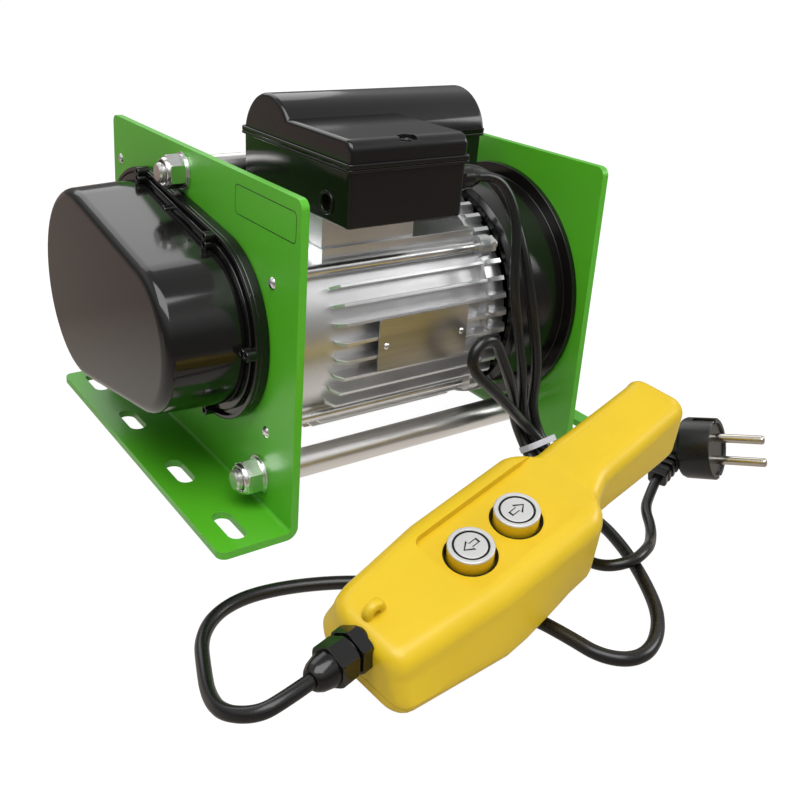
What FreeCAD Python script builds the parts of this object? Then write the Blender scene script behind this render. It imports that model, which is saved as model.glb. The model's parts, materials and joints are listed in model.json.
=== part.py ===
import FreeCAD, Part
import math
import os

import Sketcher
from FreeCAD import Placement, Rotation, Vector

# Electric winch on two flanged side plates: motor in front, rope drum behind it, spur gearing in a
# cover on the left plate, terminal box on top and a two-button pendant on its cord.
# X runs from the gear side to the fan side, Y to the back, Z up. The origin is the centre of the
# pattern of base slots, at the underside of the feet. Everything is in millimetres.

doc = FreeCAD.newDocument("winch")
sheet = doc.addObject("Spreadsheet::Sheet", "Sizes")


class Size:
    """A length that keeps both its value and the formula that the document stores."""

    def __init__(self, formula, value):
        self.formula = formula
        self.value = float(value)

    def join(self, sign, other, value):
        return Size("(%s %s %s)" % (self.formula, sign, size(other).formula), value)

    def __add__(self, other):
        return self.join("+", other, self.value + float(other))

    def __sub__(self, other):
        return self.join("-", other, self.value - float(other))

    def __mul__(self, other):
        return self.join("*", other, self.value * float(other))

    def __truediv__(self, other):
        return self.join("/", other, self.value / float(other))

    def __radd__(self, other):
        return size(other) + self

    def __rsub__(self, other):
        return size(other) - self

    def __rmul__(self, other):
        return size(other) * self

    def __rtruediv__(self, other):
        return size(other) / self

    def __neg__(self):
        return Size("(-1 * %s)" % self.formula, -self.value)

    def __float__(self):
        return self.value


def size(thing):
    return thing if isinstance(thing, Size) else Size("(%r)" % float(thing), thing)


def cosine(angle):
    return Size("cos(%s * 1 deg)" % angle.formula, math.cos(math.radians(angle.value)))


def sine(angle):
    return Size("sin(%s * 1 deg)" % angle.formula, math.sin(math.radians(angle.value)))


rows = 0


def driving(alias, value):
    """One driving dimension: a plain number in the sheet under its own name."""
    global rows
    rows += 1
    sheet.set("A%d" % rows, alias)
    sheet.set("B%d" % rows, str(value))
    sheet.setAlias("B%d" % rows, alias)
    return Size("Sizes." + alias, value)


# Side plates and their feet
plate_depth = driving("plate_depth", 334)
plate_height = driving("plate_height", 250)
plate_thickness = driving("plate_thickness", 6)
plate_gap = driving("plate_gap", 266)
foot_reach = driving("foot_reach", 56)
bend_radius = driving("bend_radius", 3)
corner_radius = driving("corner_radius", 7)
slot_length = driving("slot_length", 38)
slot_width = driving("slot_width", 14)
slot_inset = driving("slot_inset", 34)
slot_inner_spacing = driving("slot_inner_spacing", 100)
slot_outer_spacing = driving("slot_outer_spacing", 274)

# Tie rods with their studs, washers and nuts
tie_diameter = driving("tie_diameter", 22)
tie_thread = driving("tie_thread", 16)
tie_front_offset = driving("tie_front_offset", -119)
tie_rear_offset = driving("tie_rear_offset", 138)
tie_low_height = driving("tie_low_height", 29.5)
tie_top_offset = driving("tie_top_offset", 15.5)
tie_top_height = driving("tie_top_height", 230.5)
nut_across = driving("nut_across", 24)
nut_height = driving("nut_height", 16)
nut_hex_height = driving("nut_hex_height", 12)
washer_diameter = driving("washer_diameter", 30)
washer_thickness = driving("washer_thickness", 3)
stud_end = driving("stud_end", 3)
hole_clearance = driving("hole_clearance", 0.5)
fit_clearance = driving("fit_clearance", 0.05)

# Motor
motor_offset = driving("motor_offset", -53)
motor_height = driving("motor_height", 125.5)
barrel_radius = driving("barrel_radius", 82)
bore_radius = driving("bore_radius", 76)
fin_radius = driving("fin_radius", 92)
fin_count = driving("fin_count", 40)
fin_thickness = driving("fin_thickness", 2.6)
fin_chamfer = driving("fin_chamfer", 6)
drive_end_length = driving("drive_end_length", 44)
housing_length = driving("housing_length", 140)
fan_end_length = driving("fan_end_length", 24)
motor_rod_diameter = driving("motor_rod_diameter", 9)
motor_rod_circle = driving("motor_rod_circle", 88)
motor_rod_angle = driving("motor_rod_angle", 41)
pad_width = driving("pad_width", 122)
pad_ledge = driving("pad_ledge", 71)
pad_top_length = driving("pad_top_length", 82)
shaft_radius = driving("shaft_radius", 10)
end_wall = driving("end_wall", 6)
bearing_radius = driving("bearing_radius", 21)
bearing_width = driving("bearing_width", 14)
stack_length = driving("stack_length", 90)
air_gap = driving("air_gap", 0.8)
rotor_radius = driving("rotor_radius", 48)
fan_radius = driving("fan_radius", 84)
fan_cover_radius = driving("fan_cover_radius", 95)
fan_flange_radius = driving("fan_flange_radius", 105)
cover_wall = driving("cover_wall", 3)
brake_radius = driving("brake_radius", 58)

# Gearing, drum and gear cover
drum_offset = driving("drum_offset", 91)
drum_height = driving("drum_height", 121)
drum_radius = driving("drum_radius", 30)
drum_flange_radius = driving("drum_flange_radius", 47)
drum_length = driving("drum_length", 236)
drum_wall = driving("drum_wall", 6)
drum_shaft_radius = driving("drum_shaft_radius", 12.5)
drum_bearing_radius = driving("drum_bearing_radius", 26)
drum_bearing_width = driving("drum_bearing_width", 15)
first_module = driving("first_module", 1.5)
first_pinion_teeth = driving("first_pinion_teeth", 12)
first_wheel_teeth = driving("first_wheel_teeth", 50)
first_width = driving("first_width", 9)
second_module = driving("second_module", 1.75)
second_pinion_teeth = driving("second_pinion_teeth", 12)
second_wheel_teeth = driving("second_wheel_teeth", 44)
second_width = driving("second_width", 11)
third_module = driving("third_module", 2.25)
third_pinion_teeth = driving("third_pinion_teeth", 13)
third_wheel_teeth = driving("third_wheel_teeth", 43)
third_width = driving("third_width", 16)
gear_side_gap = driving("gear_side_gap", 3)
first_lay_angle = driving("first_lay_angle", 15)
layshaft_radius = driving("layshaft_radius", 7)
bush_wall = driving("bush_wall", 3)
bush_length = driving("bush_length", 8)
gear_base_thickness = driving("gear_base_thickness", 8)
gear_front_radius = driving("gear_front_radius", 72)
gear_back_radius = driving("gear_back_radius", 94)
gear_back_offset = driving("gear_back_offset", 70)
gear_back_height = driving("gear_back_height", 121)
cover_front_radius = driving("cover_front_radius", 62)
cover_back_radius = driving("cover_back_radius", 79)
cover_depth = driving("cover_depth", 64)
cover_draft = driving("cover_draft", 3)
cover_edge_radius = driving("cover_edge_radius", 8)
gear_cover_wall = driving("gear_cover_wall", 4)
lip_thickness = driving("lip_thickness", 4)
lip_width = driving("lip_width", 5)
tab_width = driving("tab_width", 9)
tab_height = driving("tab_height", 9)
cover_screw_diameter = driving("cover_screw_diameter", 5)

# Terminal box with the capacitor in its hump
box_left = driving("box_left", -96)
box_front = driving("box_front", -154)
box_front_width = driving("box_front_width", 101)
box_long_width = driving("box_long_width", 211)
box_depth = driving("box_depth", 157)
box_bottom = driving("box_bottom", 221)
box_seam = driving("box_seam", 263)
box_front_depth = driving("box_front_depth", 82)
lid_height = driving("lid_height", 17.5)
hump_radius = driving("hump_radius", 37)
hump_drop = driving("hump_drop", 3.5)
box_wall = driving("box_wall", 2.5)
box_lip = driving("box_lip", 2)
box_lip_height = driving("box_lip_height", 4)
entry_radius = driving("entry_radius", 8)
gland_height = driving("gland_height", 25)
gland_inset = driving("gland_inset", 15)
gland_spacing = driving("gland_spacing", 24)
capacitor_radius = driving("capacitor_radius", 25)
capacitor_length = driving("capacitor_length", 105)

# Cords, pendant and plug
pendant_cord_diameter = driving("pendant_cord_diameter", 9)
mains_cord_diameter = driving("mains_cord_diameter", 8)
pendant_x = driving("pendant_x", -78)
pendant_y = driving("pendant_y", -302)
pendant_z = driving("pendant_z", 68.2)
pendant_yaw = driving("pendant_yaw", 11)
pendant_tilt = driving("pendant_tilt", 5.2)
pendant_roll = driving("pendant_roll", 6)
pendant_gland_side = driving("pendant_gland_side", 110)
pendant_handle_side = driving("pendant_handle_side", 80)
pendant_width = driving("pendant_width", 82)
pendant_depth = driving("pendant_depth", 58)
pendant_split = driving("pendant_split", 30)
pendant_wall = driving("pendant_wall", 3)
handle_reach = driving("handle_reach", 200)
handle_width = driving("handle_width", 50)
handle_rounding = driving("handle_rounding", 13)
panel_width = driving("panel_width", 48)
panel_depth = driving("panel_depth", 2)
button_radius = driving("button_radius", 15)
button_spacing = driving("button_spacing", 42)
button_height = driving("button_height", 5.5)
button_travel = driving("button_travel", 4)
button_gap = driving("button_gap", 0.4)
seal_width = driving("seal_width", 2.2)
pendant_gland_reach = driving("pendant_gland_reach", 36)
pendant_gland_depth = driving("pendant_gland_depth", 25)
plug_radius = driving("plug_radius", 22)
plug_pin_radius = driving("plug_pin_radius", 2.4)
plug_pin_spacing = driving("plug_pin_spacing", 19)
plug_pin_length = driving("plug_pin_length", 19)

doc.recompute()

# Places worked out from the driving sizes
inner_face = plate_gap / 2
outer_face = inner_face + plate_thickness
foot_tip = outer_face + foot_reach
half_depth = plate_depth / 2
housing_start = drive_end_length - inner_face
housing_end = housing_start + housing_length
fan_end = housing_end + fan_end_length
gear_floor = -(outer_face + gear_base_thickness)
cover_face = -(outer_face + gear_base_thickness + cover_depth)
third_plane = gear_floor - gear_side_gap - third_width
second_plane = third_plane - gear_side_gap - second_width
first_plane = second_plane - gear_side_gap - first_width
box_right = box_left + box_front_width
box_far_right = box_left + box_long_width
box_back = box_front + box_depth
box_step = box_front + box_front_depth
hump_centre = box_back - box_lip - hump_radius
hump_level = box_seam - hump_drop
gland_z = box_bottom + gland_height
first_gland_y = box_front + gland_inset
second_gland_y = first_gland_y + gland_spacing

pieces = []


def bind(thing, prop, value):
    """Tie a property of a document object to a formula of the sheet."""
    thing.setExpression(prop, size(value).formula)


def keep(thing, name):
    """A finished sub-part: its label is the name of its file."""
    thing.Label = name
    pieces.append(thing)
    return thing


def new_body(name, y=0, z=0):
    """A body whose own X axis lies at the given Y and Z."""
    body = doc.addObject("PartDesign::Body", name)
    body.Placement = Placement(Vector(0, float(y), float(z)), Rotation())
    if float(y) or float(z):
        bind(body, "Placement.Base.y", y)
        bind(body, "Placement.Base.z", z)
    return keep(body, name)


def origin_of(body, role):
    return next(item for item in body.Origin.OriginFeatures if item.Role == role)


def new_sketch(body, role, offset=0):
    sketch = body.newObject("Sketcher::SketchObject", "Outline")
    sketch.AttachmentSupport = (origin_of(body, role), [""])
    sketch.MapMode = "FlatFace"
    sketch.AttachmentOffset = Placement(Vector(0, 0, float(offset)), Rotation())
    bind(sketch, "AttachmentOffset.Base.z", offset)
    return sketch


def fix_point(sketch, geometry, point, x, y):
    for kind, value in (("DistanceX", x), ("DistanceY", y)):
        index = sketch.addConstraint(Sketcher.Constraint(kind, -1, 1, geometry, point, float(value)))
        bind(sketch, "Constraints[%d]" % index, value)


def polygon(sketch, points):
    """A closed outline of straight lines, each corner held by its own two sizes."""
    first = sketch.GeometryCount
    corners = [Vector(float(x), float(y), 0) for x, y in points]
    for start, end in zip(corners, corners[1:] + corners[:1]):
        sketch.addGeometry(Part.LineSegment(start, end), False)
    count = len(points)
    for step in range(count):
        sketch.addConstraint(Sketcher.Constraint("Coincident", first + step, 2, first + (step + 1) % count, 1))
    for step, (x, y) in enumerate(points):
        fix_point(sketch, first + step, 1, x, y)


def rectangle(sketch, left, bottom, right, top):
    polygon(sketch, [(left, bottom), (right, bottom), (right, top), (left, top)])


def circle(sketch, x, y, radius):
    index = sketch.addGeometry(Part.Circle(Vector(float(x), float(y), 0), Vector(0, 0, 1), float(radius)), False)
    fix_point(sketch, index, 3, x, y)
    rule = sketch.addConstraint(Sketcher.Constraint("Radius", index, float(radius)))
    bind(sketch, "Constraints[%d]" % rule, radius)


def hull(sketch, x1, y1, r1, x2, y2, r2):
    """Two round ends joined by the straight lines that touch both."""
    one = Vector(float(x1), float(y1), 0)
    two = Vector(float(x2), float(y2), 0)
    heading = math.atan2(two.y - one.y, two.x - one.x)
    lean = math.acos((float(r1) - float(r2)) / one.distanceToPoint(two))

    def rim(centre, radius, angle):
        return centre + Vector(math.cos(angle), math.sin(angle), 0) * float(radius)

    up = Vector(0, 0, 1)
    low, high = heading - lean, heading + lean
    near = sketch.addGeometry(Part.LineSegment(rim(one, r1, low), rim(two, r2, low)), False)
    nose = sketch.addGeometry(Part.ArcOfCircle(Part.Circle(two, up, float(r2)), low, high), False)
    far = sketch.addGeometry(Part.LineSegment(rim(two, r2, high), rim(one, r1, high)), False)
    tail = sketch.addGeometry(Part.ArcOfCircle(Part.Circle(one, up, float(r1)), high, low + 2 * math.pi), False)
    for a, b in ((near, nose), (nose, far), (far, tail), (tail, near)):
        sketch.addConstraint(Sketcher.Constraint("Tangent", a, 2, b, 1))
    fix_point(sketch, tail, 3, x1, y1)
    fix_point(sketch, nose, 3, x2, y2)
    for arc, radius in ((tail, r1), (nose, r2)):
        rule = sketch.addConstraint(Sketcher.Constraint("Radius", arc, float(radius)))
        bind(sketch, "Constraints[%d]" % rule, radius)


def feature(body, kind, sketch, length, reverse=False, taper=None):
    """A pad or a pocket of the given length."""
    step = body.newObject("PartDesign::" + kind, kind)
    step.Profile = sketch
    step.Type = "Length"
    bind(step, "Length", length)
    step.Reversed = reverse
    if taper is not None:
        bind(step, "TaperAngle", taper)
    sketch.Visibility = False
    return step


def turned(body, kind, points):
    """A revolution or groove about the body's X axis; points are pairs of X and radius."""
    sketch = new_sketch(body, "XY_Plane")
    polygon(sketch, points)
    step = body.newObject("PartDesign::" + kind, kind)
    step.Profile = sketch
    step.ReferenceAxis = (origin_of(body, "X_Axis"), [""])
    step.Angle = 360
    return step


def around(body, step, count):
    """Repeat one feature round the body's X axis."""
    pattern = body.newObject("PartDesign::PolarPattern", "Round")
    pattern.Originals = [step]
    pattern.Axis = (origin_of(body, "X_Axis"), [""])
    pattern.Angle = 360
    pattern.Occurrences = int(float(count))
    bind(pattern, "Occurrences", count)
    body.Tip = pattern
    return pattern


def edges_where(shape, test):
    return ["Edge%d" % (i + 1) for i, edge in enumerate(shape.Edges) if test(edge.BoundBox)]


def fillet(body, step, radius, test):
    """Round the edges of a feature that the test picks by their box."""
    doc.recompute()
    rounded = body.newObject("PartDesign::Fillet", "Rounded")
    rounded.Base = (step, edges_where(step.Shape, test))
    bind(rounded, "Radius", radius)
    return rounded


def near(a, b):
    return abs(float(a) - float(b)) < 0.01


def turned_body(name, points, y=0, z=0):
    body = new_body(name, y, z)
    turned(body, "Revolution", points)
    return body


def group(name, shapes):
    """Several like pieces that share one node, each a solid of its own."""
    node = doc.addObject("Part::Feature", name)
    node.Shape = Part.makeCompound(shapes)
    return keep(node, name)


def at(shape, place):
    moved = shape.copy()
    moved.Placement = place
    return moved


def rod_along_x(radius, start, length, y=0, z=0):
    return Part.makeCylinder(float(radius), float(length), Vector(float(start), float(y), float(z)), Vector(1, 0, 0))


def ring_along_x(outer, inner, start, length, y=0, z=0):
    return rod_along_x(outer, start, length, y, z).cut(rod_along_x(inner, start, length, y, z))


def hexagon(across, height):
    """A hexagonal prism standing on the XY plane."""
    reach = float(across) / math.sqrt(3)
    corners = [Vector(reach * math.cos(math.radians(60 * i)), reach * math.sin(math.radians(60 * i)), 0)
               for i in range(7)]
    return Part.Face(Part.makePolygon(corners)).extrude(Vector(0, 0, float(height)))


def cap_screw(diameter, length, head_radius, head_height):
    """A round-headed screw that points down from the XY plane, its head above it."""
    shank = Part.makeCylinder(float(diameter) / 2, float(length), Vector(0, 0, -float(length)))
    ball = (head_radius ** 2 + head_height ** 2) / (2 * head_height)
    dome = Part.makeSphere(ball, Vector(0, 0, head_height - ball))
    keep_above = Part.makeCylinder(head_radius, head_height, Vector(0, 0, 0))
    return shank.fuse(dome.common(keep_above)).removeSplitter()


facing_left = Rotation(Vector(0, 0, 1), Vector(-1, 0, 0))
facing_right = Rotation(Vector(0, 0, 1), Vector(1, 0, 0))
facing_front = Rotation(Vector(0, 0, 1), Vector(0, -1, 0))

tie_places = [(tie_front_offset, tie_low_height), (tie_rear_offset, tie_low_height),
              (tie_top_offset, tie_top_height)]
tie_names = ["tie_rod_front", "tie_rod_rear", "tie_rod_top"]
rivet_places = [(150, 213), (-131, 183.5), (-127, 68), (150, 60)]
rivet_radius = 2.5


# Side plates: bent from sheet, with the foot turned outwards
def side_plate(name, side):
    body = new_body(name)
    sketch = new_sketch(body, "XZ_Plane", -half_depth)
    polygon(sketch, [(side * inner_face, plate_height), (side * outer_face, plate_height),
                     (side * outer_face, plate_thickness), (side * foot_tip, plate_thickness),
                     (side * foot_tip, 0), (side * inner_face, 0)])
    angle = feature(body, "Pad", sketch, plate_depth)
    crook = fillet(body, angle, bend_radius, lambda box: box.YLength > float(plate_depth) - 1
                   and near(box.XMin, side * outer_face) and near(box.ZMin, plate_thickness))
    heel = fillet(body, crook, bend_radius + plate_thickness, lambda box: box.YLength > float(plate_depth) - 1
                  and near(box.XMin, side * inner_face) and near(box.ZMin, 0))
    corners = fillet(body, heel, corner_radius, lambda box:
                     (near(box.XLength, plate_thickness) and box.ZLength < 0.01 and near(box.ZMin, plate_height))
                     or (near(box.ZLength, plate_thickness) and near(box.XMin, side * foot_tip)))
    holes = new_sketch(body, "YZ_Plane", (outer_face if side > 0 else -inner_face) + 1)
    for y, z in tie_places:
        circle(holes, y, z, tie_thread / 2 + hole_clearance)
    circle(holes, drum_offset, drum_height, drum_bearing_radius + end_wall + hole_clearance)
    if side < 0:
        circle(holes, motor_offset, motor_height, shaft_radius + end_wall)
        for y, z in rivet_places:
            circle(holes, y, z, rivet_radius + fit_clearance)
    feature(body, "Pocket", holes, plate_thickness + 2)
    slots = new_sketch(body, "XY_Plane", plate_thickness + 1)
    straight = (slot_length - slot_width) / 2
    for row in (slot_inner_spacing / 2, slot_outer_spacing / 2):
        for end in (-1, 1):
            x = side * (outer_face + slot_inset)
            hull(slots, x, end * row - straight, slot_width / 2, x, end * row + straight, slot_width / 2)
    last = feature(body, "Pocket", slots, plate_thickness + 2)
    if side > 0:
        vent = new_sketch(body, "YZ_Plane", outer_face + 1)
        vents = 12
        for step in range(vents):
            turn = Size("(%d)" % (360 * step // vents), 360 * step // vents)
            circle(vent, motor_offset + 52 * cosine(turn), motor_height + 52 * sine(turn), 9)
        circle(vent, motor_offset, motor_height, 22)
        last = feature(body, "Pocket", vent, plate_thickness + 2)
    body.Tip = last


side_plate("side_plate_left", -1)
side_plate("side_plate_right", 1)

# Tie rods: shouldered on the plates, turned down to a stud at each end
stud_reach = outer_face + washer_thickness + nut_height + stud_end
for tie_name, (tie_y, tie_z) in zip(tie_names, tie_places):
    stud = tie_thread / 2
    turned_body(tie_name, [(-stud_reach, 0), (-stud_reach, stud - 1.5), (1.5 - stud_reach, stud),
                           (-inner_face, stud), (-inner_face, tie_diameter / 2), (inner_face, tie_diameter / 2),
                           (inner_face, stud), (stud_reach - 1.5, stud), (stud_reach, stud - 1.5),
                           (stud_reach, 0)], tie_y, tie_z)

nut_bore = float(tie_thread / 2 + fit_clearance)
washer = Part.makeCylinder(float(washer_diameter / 2), float(washer_thickness))
washer = washer.cut(Part.makeCylinder(nut_bore, float(washer_thickness)))
collar = Part.makeCone(float(nut_across) / 2 - 0.5, float(nut_across) / 2 - 3.5,
                       float(nut_height - nut_hex_height), Vector(0, 0, float(nut_hex_height)))
lock_nut = hexagon(nut_across, nut_hex_height).fuse(collar).removeSplitter()
lock_nut = lock_nut.cut(Part.makeCylinder(nut_bore, float(nut_height)))
washers = []
nuts = []
for side, turn in ((-1, facing_left), (1, facing_right)):
    for tie_y, tie_z in tie_places:
        seat = Vector(side * float(outer_face), float(tie_y), float(tie_z))
        washers.append(at(washer, Placement(seat, turn)))
        nuts.append(at(lock_nut, Placement(seat + Vector(side * float(washer_thickness), 0, 0), turn)))
group("tie_washers", washers)
group("tie_nuts", nuts)

rivet = cap_screw(2 * rivet_radius, plate_thickness, 4.5, 2.6)
group("plate_rivets", [at(rivet, Placement(Vector(-float(outer_face), y, z), facing_left))
                       for y, z in rivet_places])


# Motor housing: finned barrel with the terminal pad cast on top
def motor_rod_points():
    across = motor_rod_circle * cosine(motor_rod_angle)
    rise = motor_rod_circle * sine(motor_rod_angle)
    return [(y, z) for y in (-across, across) for z in (-rise, rise)]


def add_fins(body, start, length, root, tip, thickness):
    """Straight cooling fins at half steps, so that none lies at the level of the axis."""
    sketch = new_sketch(body, "YZ_Plane", start)
    sketch.AttachmentOffset = Placement(Vector(0, 0, float(start)), Rotation(Vector(0, 0, 1), 4.5))
    bind(sketch, "AttachmentOffset.Rotation.Angle", 180 / fin_count)
    rectangle(sketch, root, -thickness / 2, tip, thickness / 2)
    return around(body, feature(body, "Pad", sketch, length), fin_count)


housing = new_body("motor_housing", motor_offset, motor_height)
turned(housing, "Revolution", [(housing_start, bore_radius), (housing_end, bore_radius),
                               (housing_end, barrel_radius), (housing_start, barrel_radius)])
add_fins(housing, housing_start, housing_length, barrel_radius - 1, fin_radius, fin_thickness)
turned(housing, "Groove", [(housing_start - 1, fin_radius - fin_chamfer - 1), (housing_start - 1, fin_radius + 1),
                           (housing_start + fin_chamfer + 1, fin_radius + 1)])
clearing = new_sketch(housing, "YZ_Plane", housing_end + 1)
for rod_y, rod_z in motor_rod_points():
    circle(clearing, rod_y, rod_z, motor_rod_diameter / 2 + 2)
pad_height = box_bottom - motor_height
rectangle(clearing, -(pad_width / 2) - 2, pad_ledge, pad_width / 2 + 2, pad_height + 2)
feature(housing, "Pocket", clearing, housing_length + 2)
ledge = new_sketch(housing, "YZ_Plane", housing_start)
rectangle(ledge, -(pad_width / 2), motor_rod_circle / 2, pad_width / 2, pad_ledge)
feature(housing, "Pad", ledge, housing_length)
pad = new_sketch(housing, "YZ_Plane", housing_start + 1)
rectangle(pad, 3 - pad_width / 2, pad_ledge - 1, pad_width / 2 - 3, pad_height)
feature(housing, "Pad", pad, pad_top_length)
bore = new_sketch(housing, "YZ_Plane", housing_end + 1)
circle(bore, 0, 0, bore_radius)
housing.Tip = feature(housing, "Pocket", bore, housing_length + 2)

# Drive end shield: the smooth barrel against the left plate, with the front bearing in its hub
hub_radius = bearing_radius + end_wall
turned_body("motor_end_drive", [(-inner_face, bearing_radius), (bearing_width - inner_face, bearing_radius),
                                (bearing_width - inner_face, hub_radius), (end_wall - inner_face, hub_radius),
                                (end_wall - inner_face, bore_radius), (housing_start, bore_radius),
                                (housing_start, barrel_radius), (-inner_face, barrel_radius)],
            motor_offset, motor_height)

# Fan end shield: a thin ring, then a toothed rim, with lugs for the four motor rods
fan_shield = new_body("motor_end_fan", motor_offset, motor_height)
ring_end = housing_end + fin_chamfer / 2
turned(fan_shield, "Revolution", [(housing_end, bearing_radius), (housing_end + bearing_width, bearing_radius),
                                  (housing_end + bearing_width, hub_radius), (housing_end + end_wall, hub_radius),
                                  (housing_end + end_wall, bore_radius), (fan_end, bore_radius),
                                  (fan_end, barrel_radius - 1), (ring_end, barrel_radius),
                                  (ring_end, fin_radius - 5), (housing_end, fin_radius - 5)])
add_fins(fan_shield, ring_end, fan_end_length - 4, barrel_radius - 3, fin_radius - 1, fin_thickness + 1)
turned(fan_shield, "Groove", [(fan_end - 8, fin_radius + 1), (fan_end + 1, fin_radius + 1),
                              (fan_end + 1, barrel_radius)])
lugs = new_sketch(fan_shield, "YZ_Plane", housing_end)
for rod_y, rod_z in motor_rod_points():
    circle(lugs, rod_y, rod_z, motor_rod_diameter)
feature(fan_shield, "Pad", lugs, fin_chamfer + 4)
lug_face = housing_end + fin_chamfer + 4
nut_room = new_sketch(fan_shield, "YZ_Plane", fan_end + 1)
for rod_y, rod_z in motor_rod_points():
    circle(nut_room, rod_y, rod_z, motor_rod_diameter)
feature(fan_shield, "Pocket", nut_room, fan_end + 1 - lug_face)
lug_holes = new_sketch(fan_shield, "YZ_Plane", fan_end + 1)
for rod_y, rod_z in motor_rod_points():
    circle(lug_holes, rod_y, rod_z, motor_rod_diameter / 2 + fit_clearance)
fan_shield.Tip = feature(fan_shield, "Pocket", lug_holes, fan_end_length + 2)

rods = []
for rod_y, rod_z in motor_rod_points():
    y, z = motor_offset + rod_y, motor_height + rod_z
    rod = rod_along_x(motor_rod_diameter / 2, -inner_face, lug_face + inner_face + 9, y, z)
    nut = at(hexagon(13, 6), Placement(Vector(float(lug_face), float(y), float(z)), facing_right))
    rods.append(rod.fuse(nut).removeSplitter())
group("motor_rods", rods)

# Rotor, stator and brake inside the motor
stack_start = housing_start + (housing_length - stack_length) / 2
stack_end = stack_start + stack_length
turned_body("stator", [(stack_start, rotor_radius + air_gap), (stack_end, rotor_radius + air_gap),
                       (stack_end, bore_radius - fit_clearance), (stack_start, bore_radius - fit_clearance)],
            motor_offset, motor_height)
group("stator_windings", [ring_along_x(bore_radius - 8, rotor_radius + 4, start, 14, motor_offset, motor_height)
                          for start in (stack_start - 14, stack_end)])
turned_body("rotor", [(stack_start, shaft_radius), (stack_start, rotor_radius), (stack_end, rotor_radius),
                      (stack_end, shaft_radius)], motor_offset, motor_height)
group("motor_bearings", [ring_along_x(bearing_radius - fit_clearance, shaft_radius + fit_clearance, start,
                                      bearing_width, motor_offset, motor_height)
                         for start in (-inner_face, housing_end)])
brake_start = housing_end + bearing_width
turned_body("brake_magnet", [(brake_start, shaft_radius + 4), (brake_start + 14, shaft_radius + 4),
                             (brake_start + 14, brake_radius), (brake_start, brake_radius)],
            motor_offset, motor_height)
disc_start = brake_start + 14.5
turned_body("brake_disc", [(disc_start, shaft_radius), (disc_start + 12, shaft_radius), (disc_start + 12, 18),
                           (disc_start + 5, 18), (disc_start + 5, brake_radius - 4), (disc_start, brake_radius - 4)],
            motor_offset, motor_height)

fan_start = disc_start + 14
fan = new_body("fan", motor_offset, motor_height)
turned(fan, "Revolution", [(fan_start, shaft_radius), (fan_start + 14, shaft_radius), (fan_start + 14, 20),
                           (fan_start + 3, 24), (fan_start + 3, fan_radius), (fan_start, fan_radius)])
blade = new_sketch(fan, "YZ_Plane", fan_start + 2)
rectangle(blade, 30, -1.2, fan_radius, 1.2)
around(fan, feature(fan, "Pad", blade, 12), 9)

# Fan cover: the black bell between the fan end shield and the right plate
turned_body("fan_cover", [(fan_end, fin_radius - 6), (fan_end, fan_cover_radius - 4),
                          (fan_end + 4, fan_cover_radius), (inner_face - 5, fan_cover_radius),
                          (inner_face - 5, fan_flange_radius), (inner_face, fan_flange_radius),
                          (inner_face, fan_cover_radius - cover_wall),
                          (fan_end + 5, fan_cover_radius - cover_wall), (fan_end + 3, fin_radius - 6)],
            motor_offset, motor_height)

# Nameplate riveted to the fins
plate_y = motor_offset - fin_radius - 1.2
name_plate = new_body("nameplate")
blank = new_sketch(name_plate, "XZ_Plane", -plate_y)
rectangle(blank, -56.5, 106.5, 26.5, 147.5)
sheet_metal = feature(name_plate, "Pad", blank, 1.2, reverse=True)
name_plate.Tip = fillet(name_plate, sheet_metal, 2.5, lambda box: near(box.YLength, 1.2))
plate_rivet = cap_screw(3, 1, 2.6, 1.4)
group("nameplate_rivets", [at(plate_rivet.common(Part.makeBox(8, 8, 8, Vector(-4, -4, 0))),
                              Placement(Vector(x, float(plate_y), 126), facing_front)) for x in (-49.5, 21.5)])


# Spur gears with involute teeth
def involute_gear(module, teeth, width, backlash=0.12, phase=0):
    """A spur gear on the YZ plane, standing along +X; the flanks follow the involute."""
    pressure = math.radians(20)
    pitch = module * teeth / 2
    base = pitch * math.cos(pressure)
    tip = pitch + 0.9 * module
    root = pitch - 1.2 * module
    half_tooth = math.pi / (2 * teeth) - backlash / (2 * pitch)
    spread = math.tan(pressure) - pressure

    def flank_angle(radius):
        if radius <= base:
            return half_tooth + spread
        roll = math.acos(base / radius)
        return half_tooth + spread - (math.tan(roll) - roll)

    middle = (max(base, root) + tip) / 2
    radii = [root, middle, tip]
    corners = []
    for tooth in range(teeth):
        heading = phase + 2 * math.pi * tooth / teeth
        rise = [(radius, heading - flank_angle(radius)) for radius in radii]
        fall = [(radius, heading + flank_angle(radius)) for radius in reversed(radii)]
        corners += [Vector(0, r * math.cos(a), r * math.sin(a)) for r, a in rise + fall]
    outline = Part.makePolygon(corners + corners[:1])
    return Part.Face(outline).extrude(Vector(width, 0, 0))


def gear_on(centre, module, teeth, plane, width, phase):
    gear = involute_gear(float(module), int(float(teeth)), float(width), phase=phase)
    gear.translate(Vector(float(plane), centre.x, centre.y))
    return gear


def centre_distance(module, one, two):
    return float(module) * (float(one) + float(two)) / 2


first_distance = centre_distance(first_module, first_pinion_teeth, first_wheel_teeth)
second_distance = centre_distance(second_module, second_pinion_teeth, second_wheel_teeth)
third_distance = centre_distance(third_module, third_pinion_teeth, third_wheel_teeth)
motor_axis = Vector(float(motor_offset), float(motor_height), 0)
drum_axis = Vector(float(drum_offset), float(drum_height), 0)
lay_turn = math.radians(float(first_lay_angle))
first_lay = motor_axis + Vector(math.cos(lay_turn), math.sin(lay_turn), 0) * first_distance
span = drum_axis - first_lay
along = (second_distance ** 2 - third_distance ** 2 + span.Length ** 2) / (2 * span.Length)
aside = math.sqrt(second_distance ** 2 - along ** 2)
reach = Vector(span.x, span.y, 0).normalize()
second_lay = first_lay + reach * along + Vector(reach.y, -reach.x, 0) * aside


def heading(start, end):
    return math.atan2(end.y - start.y, end.x - start.x)


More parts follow.
